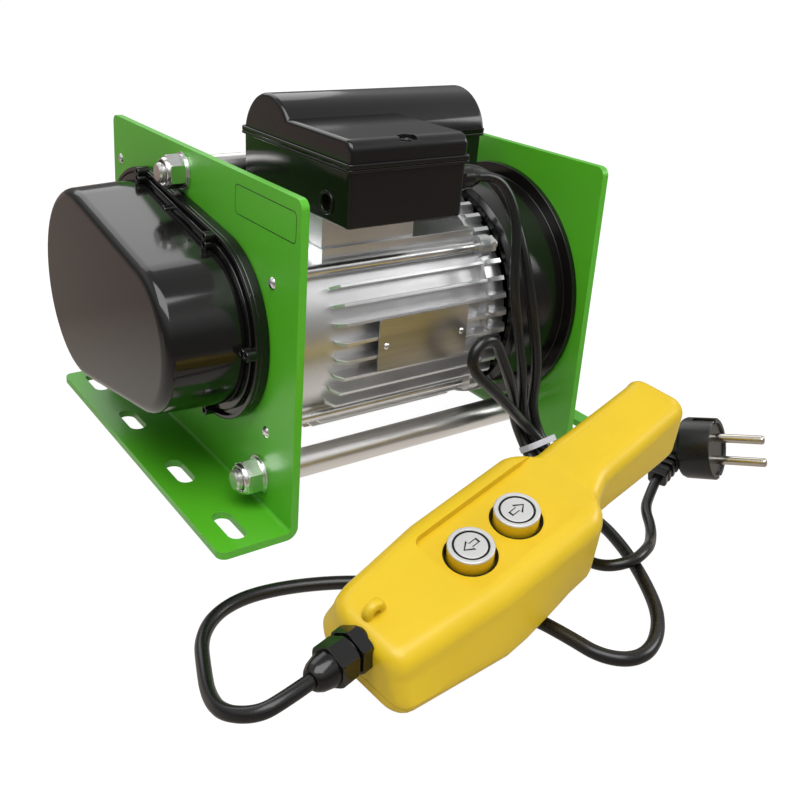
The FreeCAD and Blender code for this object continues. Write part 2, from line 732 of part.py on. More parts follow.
def wheel_phase(pinion_centre, wheel_centre, pinion_teeth, wheel_teeth, pinion_phase):
    """Turn the wheel so that one of its gaps takes the pinion's tooth on the line of centres."""
    line = heading(pinion_centre, wheel_centre)
    offset = (line - pinion_phase) * pinion_teeth / (2 * math.pi)
    lead = (offset - round(offset)) * 2 * math.pi / pinion_teeth
    return line + math.pi + lead * pinion_teeth / wheel_teeth + math.pi / wheel_teeth


counts = [int(float(n)) for n in (first_pinion_teeth, first_wheel_teeth, second_pinion_teeth,
                                  second_wheel_teeth, third_pinion_teeth, third_wheel_teeth)]
first_wheel_phase = wheel_phase(motor_axis, first_lay, counts[0], counts[1], 0)
second_wheel_phase = wheel_phase(first_lay, second_lay, counts[2], counts[3], 0)
third_wheel_phase = wheel_phase(second_lay, drum_axis, counts[4], counts[5], 0)

shaft_end = fan_start + 14
pinion = gear_on(motor_axis, first_module, counts[0], first_plane, first_width, 0)
rotor_shaft = rod_along_x(shaft_radius, first_plane + first_width + 2 + bush_length, shaft_end - first_plane
                          - first_width - 2 - bush_length, motor_offset, motor_height)
neck = rod_along_x(first_module * (first_pinion_teeth / 2 - 1.3), first_plane + first_width,
                   2 + bush_length, motor_offset, motor_height)
shaft_node = doc.addObject("Part::Feature", "rotor_shaft")
shaft_node.Shape = rotor_shaft.fuse([neck, pinion]).removeSplitter()
keep(shaft_node, "rotor_shaft")

bush_seat = gear_floor + 0.5
shaft_tip = cover_face + gear_cover_wall + 2
lay_length = bush_seat + bush_length - 1 - shaft_tip


def layshaft(name, centre, module_in, wheel_teeth, wheel_plane, wheel_width, wheel_turn,
             module_out, pinion_teeth, pinion_plane, pinion_width):
    """One layshaft: the wheel that is driven, the pinion that drives on, and the shaft between."""
    node = doc.addObject("Part::Feature", name)
    spindle = rod_along_x(layshaft_radius, shaft_tip, lay_length, centre.x, centre.y)
    wheel = gear_on(centre, module_in, wheel_teeth, wheel_plane, wheel_width, wheel_turn)
    small = gear_on(centre, module_out, pinion_teeth, pinion_plane, pinion_width, 0)
    node.Shape = spindle.fuse([wheel, small]).removeSplitter()
    keep(node, name)


layshaft("layshaft_first", first_lay, first_module, counts[1], first_plane, first_width, first_wheel_phase,
         second_module, counts[2], second_plane, second_width)
layshaft("layshaft_second", second_lay, second_module, counts[3], second_plane, second_width,
         second_wheel_phase, third_module, counts[4], third_plane, third_width)
drum_gear = gear_on(drum_axis, third_module, counts[5], third_plane, third_width, third_wheel_phase)
drum_gear = drum_gear.cut(rod_along_x(drum_shaft_radius + fit_clearance, third_plane - 1, third_width + 2,
                                      drum_axis.x, drum_axis.y))
lightening = [rod_along_x(8, third_plane - 1, third_width + 2,
                          drum_axis.x + 29 * math.cos(turn), drum_axis.y + 29 * math.sin(turn))
              for turn in (math.radians(60 * step) for step in range(6))]
drum_gear_node = doc.addObject("Part::Feature", "drum_gear")
drum_gear_node.Shape = drum_gear.cut(Part.makeCompound(lightening))
keep(drum_gear_node, "drum_gear")

# Drum, its shaft and bearings, and the clamp that holds the rope's end
half_drum = drum_length / 2
drum_bore = drum_shaft_radius + fit_clearance
turned_body("drum", [(-half_drum, drum_bore), (-half_drum, drum_flange_radius),
                     (drum_wall - half_drum, drum_flange_radius), (drum_wall - half_drum, drum_radius),
                     (half_drum - drum_wall, drum_radius), (half_drum - drum_wall, drum_flange_radius),
                     (half_drum, drum_flange_radius), (half_drum, drum_bore),
                     (half_drum - drum_wall, drum_bore), (half_drum - drum_wall, drum_radius - drum_wall),
                     (drum_wall - half_drum, drum_radius - drum_wall), (drum_wall - half_drum, drum_bore)],
            drum_offset, drum_height)
right_seat = inner_face - 2
turned_body("drum_shaft", [(third_plane - 1, 0), (third_plane - 1, drum_shaft_radius),
                           (right_seat + drum_bearing_width, drum_shaft_radius),
                           (right_seat + drum_bearing_width, 0)], drum_offset, drum_height)
clamp_y = drum_offset + (drum_radius + drum_flange_radius) / 2
clamp = Part.makeBox(5, 14, 26, Vector(-float(half_drum) - 5, float(clamp_y) - 7, float(drum_height) - 13))
clamp_node = doc.addObject("Part::Feature", "rope_clamp")
clamp_node.Shape = clamp.fuse([at(cap_screw(4, 3, 3.5, 2), Placement(
    Vector(-float(half_drum) - 5, float(clamp_y), float(drum_height) + rise), facing_left))
    for rise in (-7, 7)]).removeSplitter()
keep(clamp_node, "rope_clamp")
left_seat = -(inner_face - 2) - drum_bearing_width
group("drum_bearings", [ring_along_x(drum_bearing_radius - fit_clearance, drum_shaft_radius + fit_clearance,
                                     start, drum_bearing_width, drum_offset, drum_height)
                        for start in (left_seat, right_seat)])
bearing_house = turned_body("bearing_housing",
                            [(right_seat, drum_bearing_radius), (right_seat, drum_bearing_radius + end_wall),
                             (outer_face, drum_bearing_radius + end_wall), (outer_face, drum_bearing_radius + 22),
                             (outer_face + 6, drum_bearing_radius + 22),
                             (outer_face + 6, drum_bearing_radius + end_wall),
                             (right_seat + drum_bearing_width + 6, drum_bearing_radius + end_wall - 3),
                             (right_seat + drum_bearing_width + 6, 0), (right_seat + drum_bearing_width + 1, 0),
                             (right_seat + drum_bearing_width + 1, drum_bearing_radius)],
                            drum_offset, drum_height)
housing_screw = cap_screw(6, 3, 5, 3.2)
group("housing_screws", [at(housing_screw.common(Part.makeBox(12, 12, 6, Vector(-6, -6, 0))), Placement(
    Vector(float(outer_face) + 6, float(drum_offset) + 40.5 * math.cos(turn),
           float(drum_height) + 40.5 * math.sin(turn)), facing_right))
    for turn in (math.radians(45 + 90 * step) for step in range(4))])


# Gear housing: a base plate on the left side plate, and the drafted cover over the gears
def gear_outline(sketch, grow_front, grow_back):
    hull(sketch, motor_offset, motor_height, grow_front, gear_back_offset, gear_back_height, grow_back)


base = new_body("gearbox_base")
plan = new_sketch(base, "YZ_Plane", gear_floor)
gear_outline(plan, gear_front_radius, gear_back_radius)
slab = feature(base, "Pad", plan, gear_base_thickness)
spigot = new_sketch(base, "YZ_Plane", gear_floor)
circle(spigot, drum_offset, drum_height, drum_bearing_radius + end_wall)
feature(base, "Pad", spigot, gear_base_thickness + plate_thickness + 2)
base_holes = new_sketch(base, "YZ_Plane", -inner_face + 3)
circle(base_holes, drum_offset, drum_height, drum_bearing_radius)
circle(base_holes, motor_offset, motor_height, shaft_radius + 2)
for lay in (first_lay, second_lay):
    circle(base_holes, lay.x, lay.y, layshaft_radius + bush_wall)
base.Tip = feature(base, "Pocket", base_holes, gear_base_thickness + plate_thickness + 4)

# Cover screws stand in tabs above, before and below the front axis, and round the back one
tab_angles = [(motor_axis, cover_front_radius, 90), (motor_axis, cover_front_radius, 182),
              (motor_axis, cover_front_radius, 268),
              (Vector(float(gear_back_offset), float(gear_back_height), 0), cover_back_radius, 88),
              (Vector(float(gear_back_offset), float(gear_back_height), 0), cover_back_radius, 0),
              (Vector(float(gear_back_offset), float(gear_back_height), 0), cover_back_radius, 272)]


def tab_frame(centre, radius, angle):
    turn = math.radians(angle)
    out = Vector(0, math.cos(turn), math.sin(turn))
    foot = Vector(float(gear_floor), centre.x, centre.y) + out * (float(radius) + 5)
    return foot, out


cover = new_body("gearbox_cover_form")
pieces.pop()
cover_plan = new_sketch(cover, "YZ_Plane", gear_floor)
gear_outline(cover_plan, cover_front_radius, cover_back_radius)
dome = feature(cover, "Pad", cover_plan, cover_depth, reverse=True, taper=-cover_draft)
rounded = fillet(cover, dome, cover_edge_radius, lambda box: box.XLength < 0.01 and near(box.XMin, cover_face))
cavity_plan = new_sketch(cover, "YZ_Plane", gear_floor)
gear_outline(cavity_plan, cover_front_radius - gear_cover_wall, cover_back_radius - gear_cover_wall)
cover.Tip = feature(cover, "Pocket", cavity_plan, cover_depth - gear_cover_wall, taper=-cover_draft)

lip = new_body("gearbox_lip_form")
pieces.pop()
lip_plan = new_sketch(lip, "YZ_Plane", gear_floor)
gear_outline(lip_plan, cover_front_radius + lip_width, cover_back_radius + lip_width)
gear_outline(lip_plan, cover_front_radius - 1, cover_back_radius - 1)
lip.Tip = feature(lip, "Pad", lip_plan, lip_thickness, reverse=True)
doc.recompute()

tabs = []
tab_holes = []
screws = []
cover_screw = cap_screw(cover_screw_diameter, tab_height, 4, 2.6)
for tab in tab_angles:
    foot, out = tab_frame(*tab)
    turn = Rotation(Vector(0, 0, 1), Vector(-1, 0, 0))
    block = Part.makeCylinder(float(tab_width) / 2, float(tab_height), foot, Vector(-1, 0, 0))
    bridge = Part.makeBox(float(tab_width), float(tab_width), float(tab_height))
    bridge.translate(Vector(-float(tab_width), -float(tab_width) / 2, 0))
    bridge.Placement = Placement(foot, Rotation(-out, Vector(0, 0, 0), Vector(-1, 0, 0), "ZXY")
                                 ).multiply(bridge.Placement)
    tabs.append(block)
    tab_holes.append(Part.makeCylinder(float(cover_screw_diameter / 2 + fit_clearance), float(tab_height),
                                       foot, Vector(-1, 0, 0)))
    screws.append(at(cover_screw, Placement(foot + Vector(-float(tab_height), 0, 0), turn)))
bosses = []
for lay in (first_lay, second_lay):
    depth = bush_length + 3
    boss = ring_along_x(layshaft_radius + bush_wall + 4, layshaft_radius + bush_wall,
                        cover_face + gear_cover_wall - 1, depth, lay.x, lay.y)
    bosses.append(boss)
cover_node = doc.addObject("Part::Feature", "gearbox_cover")
cover_shape = cover.Shape.fuse([lip.Shape] + tabs + bosses)
cover_node.Shape = cover_shape.cut(Part.makeCompound(tab_holes)).removeSplitter()
keep(cover_node, "gearbox_cover")
group("cover_screws", screws)
bushes = []
for lay in (first_lay, second_lay):
    for start in (gear_floor, cover_face + gear_cover_wall):
        bushes.append(ring_along_x(layshaft_radius + bush_wall - fit_clearance, layshaft_radius + fit_clearance,
                                   start, bush_length, lay.x, lay.y))
group("layshaft_bushes", bushes)


# Terminal box: an L-shaped base, and a lid with a low front and a round hump over the capacitor
def box_outline(sketch, inset, z_axis=None):
    polygon(sketch, [(box_left + inset, box_front + inset), (box_right - inset, box_front + inset),
                     (box_right - inset, box_step + inset), (box_far_right - inset, box_step + inset),
                     (box_far_right - inset, box_back - inset), (box_left + inset, box_back - inset)])


box_base = new_body("terminal_box_base")
floor_plan = new_sketch(box_base, "XY_Plane", box_bottom)
box_outline(floor_plan, box_lip)
tray = feature(box_base, "Pad", floor_plan, box_seam - box_bottom)
tray = fillet(box_base, tray, 5, lambda box: near(box.ZLength, box_seam - box_bottom))
inside = new_sketch(box_base, "XY_Plane", box_seam)
box_outline(inside, box_lip + box_wall)
feature(box_base, "Pocket", inside, box_seam - box_bottom - box_wall)
rim = new_sketch(box_base, "XY_Plane", box_seam - box_lip_height)
box_outline(rim, 0)
box_outline(rim, box_lip + box_wall)
feature(box_base, "Pad", rim, box_lip_height)
spare = new_sketch(box_base, "YZ_Plane", box_left - 1)
circle(spare, box_front + 25, box_bottom + 16.5, entry_radius)
feature(box_base, "Pocket", spare, box_wall + box_lip + 4, reverse=True)
gland_holes = new_sketch(box_base, "YZ_Plane", box_right + 1)
for gland_y in (first_gland_y, second_gland_y):
    circle(gland_holes, gland_y, gland_z, 8)
box_base.Tip = feature(box_base, "Pocket", gland_holes, box_wall + box_lip + 3)


def lid_form(name, inset):
    """The lid's outer form, or with an inset the space inside it."""
    body = new_body(name)
    pieces.pop()
    profile = new_sketch(body, "YZ_Plane", box_left + inset)
    rectangle(profile, box_front + inset, box_seam - 1, hump_centre - 15, box_seam + lid_height + box_lip - inset)
    step = feature(body, "Pad", profile, box_front_width - 2 * inset)
    if inset is box_lip:
        step = fillet(body, step, 9, lambda box: near(box.YMin, box_front + inset)
                      and near(box.ZMin, box_seam + lid_height) and box.XLength > 50)
        step = fillet(body, step, 4, lambda box: near(box.YMin, box_front + inset)
                      and near(box.ZMin, box_seam - 1) and box.ZLength > 5)
    arch = new_sketch(body, "YZ_Plane", box_left + inset)
    circle(arch, hump_centre, hump_level, hump_radius + box_lip - inset)
    feature(body, "Pad", arch, box_long_width - 2 * inset)
    trim = new_sketch(body, "YZ_Plane", box_far_right + 5)
    rectangle(trim, box_front - 5, box_seam - hump_radius - 12, box_back + 5, box_seam)
    body.Tip = feature(body, "Pocket", trim, box_long_width + 10)
    if inset is box_lip:
        body.Tip = fillet(body, body.Tip, 3, lambda box: box.XLength < 0.01 and box.ZMax > box_seam.value + 25
                          and near(box.XMin, box_far_right - inset))
    return body


lid_wall = box_lip + box_wall
lid_body = lid_form("lid_outside", box_lip)
seam_rim = new_sketch(lid_body, "XY_Plane", box_seam)
box_outline(seam_rim, 0)
feature(lid_body, "Pad", seam_rim, box_lip_height)
screw_x, screw_y = box_left + 57, box_front + 13
recess = new_sketch(lid_body, "XY_Plane", box_seam + lid_height + 1)
rectangle(recess, screw_x - 6, screw_y - 5, screw_x + 6, screw_y + 5)
lid_body.Tip = feature(lid_body, "Pocket", recess, 2.5)
lid_space = lid_form("lid_inside", lid_wall)
doc.recompute()
lid = doc.addObject("Part::Feature", "terminal_box_lid")
lid.Shape = lid_body.Shape.cut(lid_space.Shape).removeSplitter()
keep(lid, "terminal_box_lid")
lid_screw = cap_screw(4, 1, 3.5, 1.5).common(Part.makeBox(8, 8, 4, Vector(-4, -4, 0)))
group("lid_screw", [at(lid_screw, Placement(Vector(float(screw_x), float(screw_y),
                                                   float(box_seam + lid_height) - 1.5), Rotation()))])

# Capacitor on its two cradles under the hump, and the terminal block before it
floor_level = box_bottom + box_wall
turned_body("capacitor", [(-60, 0), (-60, capacitor_radius - 3), (-57, capacitor_radius),
                          (capacitor_length - 63, capacitor_radius), (capacitor_length - 60, capacitor_radius - 3),
                          (capacitor_length - 60, 0)], hump_centre, hump_level)
cradles = new_body("capacitor_cradles")
for cradle_x in (-45, 25):
    block = new_sketch(cradles, "YZ_Plane", cradle_x)
    rectangle(block, hump_centre - 18, floor_level, hump_centre + 18, hump_level - 15)
    feature(cradles, "Pad", block, 5)
link = new_sketch(cradles, "YZ_Plane", -45)
rectangle(link, hump_centre - 8, floor_level, hump_centre + 8, floor_level + 3)
feature(cradles, "Pad", link, 75)
seat = new_sketch(cradles, "YZ_Plane", 31)
circle(seat, hump_centre, hump_level, capacitor_radius + 0.3)
cradles.Tip = feature(cradles, "Pocket", seat, 80)

strip = new_body("terminal_block")
strip_plan = new_sketch(strip, "XY_Plane", floor_level)
rectangle(strip_plan, -78, -132, -14, -108)
feature(strip, "Pad", strip_plan, 10)
for barrier in range(6):
    rib = new_sketch(strip, "XY_Plane", floor_level + 9)
    rectangle(rib, 12.4 * barrier - 78, -132, 12.4 * barrier - 76, -108)
    strip.Tip = feature(strip, "Pad", rib, 8)

wall_face = box_right - box_lip


def gland(bore, start, y, z):
    """A cable gland along X: thread, hexagon and domed nut, its face at 24 from the wall."""
    thread = rod_along_x(8 - float(fit_clearance), start - 6, 6, y, z)
    nut = at(hexagon(20, 7), Placement(Vector(float(start), float(y), float(z)), facing_right))
    nut_end = float(start) + 7
    dome = rod_along_x(8.5, nut_end, 10, y, z)
    cone = Part.makeCone(8.5, 6.2, 7, Vector(nut_end + 10, float(y), float(z)), Vector(1, 0, 0))
    whole = thread.fuse([nut, dome, cone]).removeSplitter()
    return whole.cut(rod_along_x(bore, float(start) + 12, 12.5, y, z))


gland_face = float(wall_face) + 24
group("terminal_box_glands", [gland(mains_cord_diameter / 2, wall_face, first_gland_y, gland_z),
                              gland(pendant_cord_diameter / 2, wall_face, second_gland_y, gland_z)])


# Pendant: two shells, the front one with the recessed panel and its two buttons
def pendant_place(thing):
    thing.Placement = Placement(Vector(float(pendant_x), float(pendant_y), float(pendant_z)),
                                Rotation(float(pendant_yaw), -float(pendant_tilt), float(pendant_roll)))
    for prop, value in (("Base.x", pendant_x), ("Base.y", pendant_y), ("Base.z", pendant_z)):
        bind(thing, "Placement." + prop, value)
    return thing


def pendant_form(name, inset):
    """The pendant's outer form or, with an inset, the space in its shells, in its own frame."""
    body = new_body(name)
    pieces.pop()
    half = pendant_width / 2 - inset
    top = -inset
    low = inset - pendant_depth
    plan = new_sketch(body, "XY_Plane", low)
    polygon(plan, [(inset - pendant_gland_side, 6 - half), (-30, -half), (pendant_handle_side - inset, -half),
                   (pendant_handle_side - inset, half), (-30, half), (inset - pendant_gland_side, half - 6)])
    head = feature(body, "Pad", plan, top - low)
    head = fillet(body, head, 24 - inset, lambda box: box.ZLength > 30 and box.XLength < 0.01
                  and abs(box.XMin + 30) > 1)
    head = fillet(body, head, 10 - inset, lambda box: near(box.ZMin, top) and near(box.ZMax, top))
    head = fillet(body, head, 14 - inset, lambda box: near(box.ZMin, low) and near(box.ZMax, low))
    body.Tip = head
    doc.recompute()
    grip_start = float(pendant_handle_side) - 20
    grip_box = Part.makeBox(float(handle_reach - inset) - grip_start, float(handle_width - 2 * inset),
                            float(pendant_depth) - 14 - 2 * float(inset),
                            Vector(grip_start, float(inset - handle_width / 2), float(low) + 11))
    rounding = float(handle_rounding - inset)
    grip_box = grip_box.makeFillet(rounding, [edge for edge in grip_box.Edges
                                              if edge.BoundBox.XMin > grip_start + 1
                                              or edge.BoundBox.XLength > 80])
    return body.Shape.fuse(grip_box)


outer_form = pendant_form("pendant_outside", size(0))
inner_form = pendant_form("pendant_inside", pendant_wall)
doc.recompute()


def local_cylinder(radius, low, high, x=0, y=0):
    return Part.makeCylinder(float(radius), float(high) - float(low), Vector(float(x), float(y), float(low)))


def local_box(left, right, width, low, high, middle=0):
    return Part.makeBox(float(right) - float(left), float(width), float(high) - float(low),
                        Vector(float(left), float(middle) - float(width) / 2, float(low)))


button_places = {"up": button_spacing / 2, "down": -(button_spacing / 2)}
seal_radius = button_radius + button_gap + seal_width
shell_form = outer_form.fuse(local_box(-102, -97, 12, -3, 6, 2))
lug_hole = Part.makeCylinder(2.4, 12, Vector(-104, 2, 4), Vector(1, 0, 0))
shell_form = shell_form.cut([inner_form, lug_hole])
panel_cut = local_box(-50, 56, panel_width, -panel_depth, 5)
panel_cut = panel_cut.makeFillet(8, [edge for edge in panel_cut.Edges if edge.BoundBox.ZLength > 5])
backing = local_box(-54, 60, panel_width + 8, -panel_depth - pendant_wall, -pendant_wall + 0.5)
shell_form = shell_form.fuse(backing.common(outer_form)).cut(panel_cut)
for place in button_places.values():
    shell_form = shell_form.cut(local_cylinder(seal_radius + fit_clearance, -12, 3, place))
gland_axis = Vector(-float(pendant_gland_side) - 1, 0, -float(pendant_gland_depth))
shell_form = shell_form.cut(Part.makeCylinder(10, 12, gland_axis, Vector(1, 0, 0)))
split_low = local_box(-140, 220, 120, -80, -pendant_split)


def pendant_piece(name, shape):
    node = doc.addObject("Part::Feature", name)
    node.Shape = shape.removeSplitter()
    return keep(pendant_place(node), name)


pendant_piece("pendant_front", shell_form.cut(split_low))
pendant_piece("pendant_back", shell_form.common(split_low))
shell_floor = float(pendant_wall - pendant_depth)
switch_top = -12 - float(button_travel) - 0.5
switches = [local_box(-40, 40, 26, shell_floor, switch_top - 8)]
switches += [local_cylinder(7, switch_top - 8.5, switch_top, place) for place in button_places.values()]
pendant_piece("switch_block", switches[0].fuse(switches[1:]))
seals = [local_cylinder(seal_radius, -panel_depth - pendant_wall, -panel_depth, place)
         .cut(local_cylinder(button_radius + button_gap, -20, 5, place)) for place in button_places.values()]
seal_node = doc.addObject("Part::Feature", "button_seals")
seal_node.Shape = Part.makeCompound(seals)
keep(pendant_place(seal_node), "button_seals")
wall_back = -float(panel_depth + pendant_wall)
for name, place in button_places.items():
    skirt = local_cylinder(button_radius, -12, button_height - 1.5, place)
    skirt = skirt.fuse(local_cylinder(seal_radius + 1.2, wall_back - 3.8, wall_back - 0.3, place))
    pendant_piece("button_" + name, skirt)
    cap = local_cylinder(button_radius - 0.2, button_height - 1.5, button_height, place)
    groove = local_cylinder(12, button_height - 0.5, button_height + 1, place).cut(
        local_cylinder(10.8, button_height - 1, button_height + 1, place))
    pendant_piece("button_cap_" + name, cap.cut(groove))

gland_start = gland_axis + Vector(1, 0, 0)
back = Vector(-1, 0, 0)
hex_place = Placement(gland_start, Rotation(Vector(0, 0, 1), back))
pendant_gland = at(hexagon(27, 9), hex_place)
lock_ring = Part.makeCylinder(9.9, 8, gland_start, Vector(1, 0, 0))
sleeve = Part.makeCylinder(11.5, 8, gland_start + back * 9, back)
dome_nut = at(hexagon(24, 10), Placement(gland_start + back * 14, hex_place.Rotation))
nose = Part.makeCone(11.5, 7, float(pendant_gland_reach) - 24, gland_start + back * 24, back)
pendant_gland = pendant_gland.fuse([lock_ring, sleeve, dome_nut, nose])
gland_bore = Part.makeCylinder(float(pendant_cord_diameter / 2), 10, gland_start
                               + back * (float(pendant_gland_reach) - 6), back)
pendant_piece("pendant_gland", pendant_gland)
pendant_frame = Placement(Vector(float(pendant_x), float(pendant_y), float(pendant_z)),
                          Rotation(float(pendant_yaw), -float(pendant_tilt), float(pendant_roll)))
pendant_entry = pendant_frame.multVec(gland_start + back * float(pendant_gland_reach))
pendant_heading = pendant_frame.Rotation.multVec(back)
print("pendant entry", [round(value, 1) for value in pendant_entry],
      "heading", [round(value, 3) for value in pendant_heading])

# Plug with its two pins, and the tapered strain relief behind it
plug_axis = Vector(0.83, -0.56, 0).normalize()
plug_centre = Vector(216, -237, float(plug_radius) + 0.3)
relief_start = Vector(196, -226, 18.5)
relief_end = Vector(157, -246, 9)
relief_axis = (relief_end - relief_start).normalize()
relief_length = (relief_end - relief_start).Length


def plug_disc(radius, start, end, radius_end=None):
    foot = plug_centre + plug_axis * start
    if radius_end is None:
        return Part.makeCylinder(float(radius), end - start, foot, plug_axis)
    return Part.makeCone(float(radius), float(radius_end), end - start, foot, plug_axis)


plug = plug_disc(plug_radius, -6, 18).fuse([plug_disc(14, -18, -6, plug_radius), plug_disc(plug_radius - 2, 18, 20)])
plug = plug.fuse(Part.makeCone(9.5, 15, (plug_centre - relief_start).Length, relief_start, plug_centre - relief_start))
plug = plug.common(Part.makeBox(200, 200, 60, Vector(120, -330, 0.3)))
pin_places = [Vector(0, 0, side * float(plug_pin_spacing) / 2) for side in (-1, 1)]
for pin in pin_places:
    plug = plug.cut(Part.makeCylinder(float(plug_pin_radius + fit_clearance), 12.2,
                                      plug_centre + pin + plug_axis * 8, plug_axis))
relief_form = Part.makeCone(9, float(mains_cord_diameter) / 2 + 2, relief_length, relief_start, relief_axis)
plug = plug.cut(relief_form)
plug_node = doc.addObject("Part::Feature", "plug_body")
plug_node.Shape = plug.removeSplitter()
keep(plug_node, "plug_body")
pins = []
for pin in pin_places:
    foot = plug_centre + pin + plug_axis * 8
    shank = Part.makeCylinder(float(plug_pin_radius), 10 + float(plug_pin_length), foot, plug_axis)
    tip = Part.makeCone(float(plug_pin_radius), float(plug_pin_radius) - 1, 2,
                        foot + plug_axis * (10 + float(plug_pin_length)), plug_axis)
    pins.append(shank.fuse(tip).removeSplitter())
group("plug_pins", pins)
relief = relief_form
ribs = 6
for rib in range(ribs):
    place = relief_start + relief_axis * (relief_length * (rib + 0.7) / (ribs + 0.6))
    ring = Part.makeCylinder(12, 2.4, place, relief_axis).cut(Part.makeCylinder(5, 2.4, place, relief_axis))
    relief = relief.cut(ring)
relief_node = doc.addObject("Part::Feature", "strain_relief")
relief_node.Shape = relief.removeSplitter()
keep(relief_node, "strain_relief")

# Cords: straight runs joined by arcs, from gland to pendant and from gland to plug
mains_points = [(gland_face, -139, 246), (44, -139, 246), (58, -144, 232), (63, -152, 208), (58, -159, 164),
                (70, -161, 114), (81, -160, 74), (90.9, -152.7, 39.2), (94.3, -178.6, 8.2), (90, -197, 11),
                (79, -213, 13.8), (62, -230, 13.8), (48, -249, 5), (35, -270, 4.1), (26, -290, 4.1),
                (28, -311, 8.5), (45, -321, 13.8), (66, -315, 13.8), (86, -302, 5.5), (103, -288, 4.1),
                (119, -268, 4.1), (137.9, -255.8, 4.4), tuple(relief_end)]
pendant_points = [(gland_face, -115, 246), (46, -115, 246), (64, -121, 234), (73, -135, 213), (76, -152, 176),
                  (83, -161, 130), (93, -162, 84), (100.5, -152.7, 39.3), (104.3, -178.7, 6.8), (127, -197, 4.6),
                  (129, -215, 4.6), (117, -229, 4.6), (100, -231, 4.6), (90, -220, 4.6), (97, -203, 6),
                  (102.6, -186, 13), (83, -165, 38.8), (58, -173, 62), (34, -174, 85), (13, -173, 104),
                  (13, -171.5, 118), (24, -170.5, 127), (37, -169.5, 123), (46, -168, 108), (60, -166, 84),
                  (72, -161, 62), (81.7, -152.7, 39.2), (85.1, -178.6, 6.2), (78, -204, 4.6), (70, -232, 4.6),
                  (74, -263, 4.6), (62, -300, 4.6), (43, -336, 4.6), (23, -364, 4.6), (-3, -382, 4.6),
                  (-24, -384, 4.6), (-39, -371, 4.6), (-43, -349, 4.6), (-50, -322, 4.6), (-74, -284, 4.6),
                  (-108, -249, 4.6), (-148, -226, 4.6), (-192, -214, 4.6), (-222, -219, 4.6), (-242, -237, 4.6),
                  (-252, -263, 5), (-261, -288, 9), (-264, -312, 17), (-252, -329, 24.5), (-236.7, -330.2, 28.8),
                  tuple(pendant_entry)]


def cord(name, points, diameter):
    """A round cord along straight runs, each corner an arc that takes 0.45 of its shorter run."""
    corners = [Vector(*point) for point in points]
    edges = []
    start = corners[0]
    radii = []
    for before, corner, after in zip(corners, corners[1:], corners[2:]):
        back = (before - corner).normalize()
        ahead = (after - corner).normalize()
        reach = 0.45 * min((before - corner).Length, (after - corner).Length)
        half_turn = (math.pi - back.getAngle(ahead)) / 2
        radius = reach / math.tan(half_turn)
        middle = corner + (back + ahead).normalize() * (math.hypot(radius, reach) - radius)
        edges.append(Part.LineSegment(start, corner + back * reach).toShape())
        edges.append(Part.Arc(corner + back * reach, middle, corner + ahead * reach).toShape())
        radii.append(round(radius / float(diameter), 1))
        start = corner + ahead * reach
    edges.append(Part.LineSegment(start, corners[-1]).toShape())
    path = Part.Wire(edges)
    section = Part.Wire(Part.makeCircle(float(diameter) / 2, corners[0], corners[1] - corners[0]))
    node = doc.addObject("Part::Feature", name)
    node.Shape = path.makePipeShell([section], True, True)
    expected = path.Length * math.pi * float(diameter) ** 2 / 4
    print(name, "length", round(path.Length), "volume ratio", round(node.Shape.Volume / expected, 4))
    print("  bend radii in diameters", radii)
    keep(node, name)


cord("mains_cord", mains_points, mains_cord_diameter)
cord("pendant_cord", pendant_points, pendant_cord_diameter)

# The band that ties the spare loop of the pendant cord to the mains cord
tie_centre = Vector(93, -170, 25)
tie_axis = Vector(0.08, -0.62, -0.78).normalize()
tie_side = Vector(1, 0, 0.1).normalize()
tie_turn = Rotation(tie_side, tie_axis.cross(tie_side), tie_axis, "ZXY")
band = Part.makeBox(32, 23, 13, Vector(-16, -11.5, -6.5))
band = band.makeFillet(7, [edge for edge in band.Edges if edge.BoundBox.ZLength > 10])
hole = Part.makeBox(29.6, 20.6, 13, Vector(-14.8, -10.3, -6.5))
hole = hole.makeFillet(5.8, [edge for edge in hole.Edges if edge.BoundBox.ZLength > 10])
tie_node = doc.addObject("Part::Feature", "cord_tie")
tie_node.Shape = band.cut(hole)
tie_node.Placement = Placement(tie_centre, tie_turn)
keep(tie_node, "cord_tie")

parts_folder = "parts"
os.makedirs(parts_folder, exist_ok=True)
doc.recompute()
for thing in doc.Objects:
    if "Invalid" in thing.State or "Error" in thing.State:
        raise RuntimeError("%s (%s) did not build: %s" % (thing.Label, thing.TypeId, thing.State))
for piece in pieces:
    if piece.Shape.isNull() or not piece.Shape.isValid():
        raise RuntimeError("%s has no valid shape" % piece.Label)
for piece in pieces:
    piece.Shape.exportStep(os.path.join(parts_folder, piece.Label + ".step"))
print(len(pieces), "pieces written")
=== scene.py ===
import json
import math

import bmesh
import bpy
from mathutils import Matrix, Vector


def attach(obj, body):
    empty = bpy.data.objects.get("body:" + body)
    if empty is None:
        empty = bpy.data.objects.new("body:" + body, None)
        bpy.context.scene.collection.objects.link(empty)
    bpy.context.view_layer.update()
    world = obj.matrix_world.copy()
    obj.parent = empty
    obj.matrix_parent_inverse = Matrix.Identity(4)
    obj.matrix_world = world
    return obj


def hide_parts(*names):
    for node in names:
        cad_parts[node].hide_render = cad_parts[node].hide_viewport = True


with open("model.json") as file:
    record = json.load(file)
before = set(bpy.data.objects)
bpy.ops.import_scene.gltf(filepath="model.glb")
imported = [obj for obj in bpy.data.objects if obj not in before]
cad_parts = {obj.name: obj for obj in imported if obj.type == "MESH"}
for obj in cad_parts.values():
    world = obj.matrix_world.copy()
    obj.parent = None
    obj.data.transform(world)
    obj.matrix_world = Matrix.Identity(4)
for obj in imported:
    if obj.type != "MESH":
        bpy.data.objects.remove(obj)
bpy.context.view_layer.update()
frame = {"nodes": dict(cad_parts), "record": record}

nodes = frame["nodes"]
rootBody = "winch"
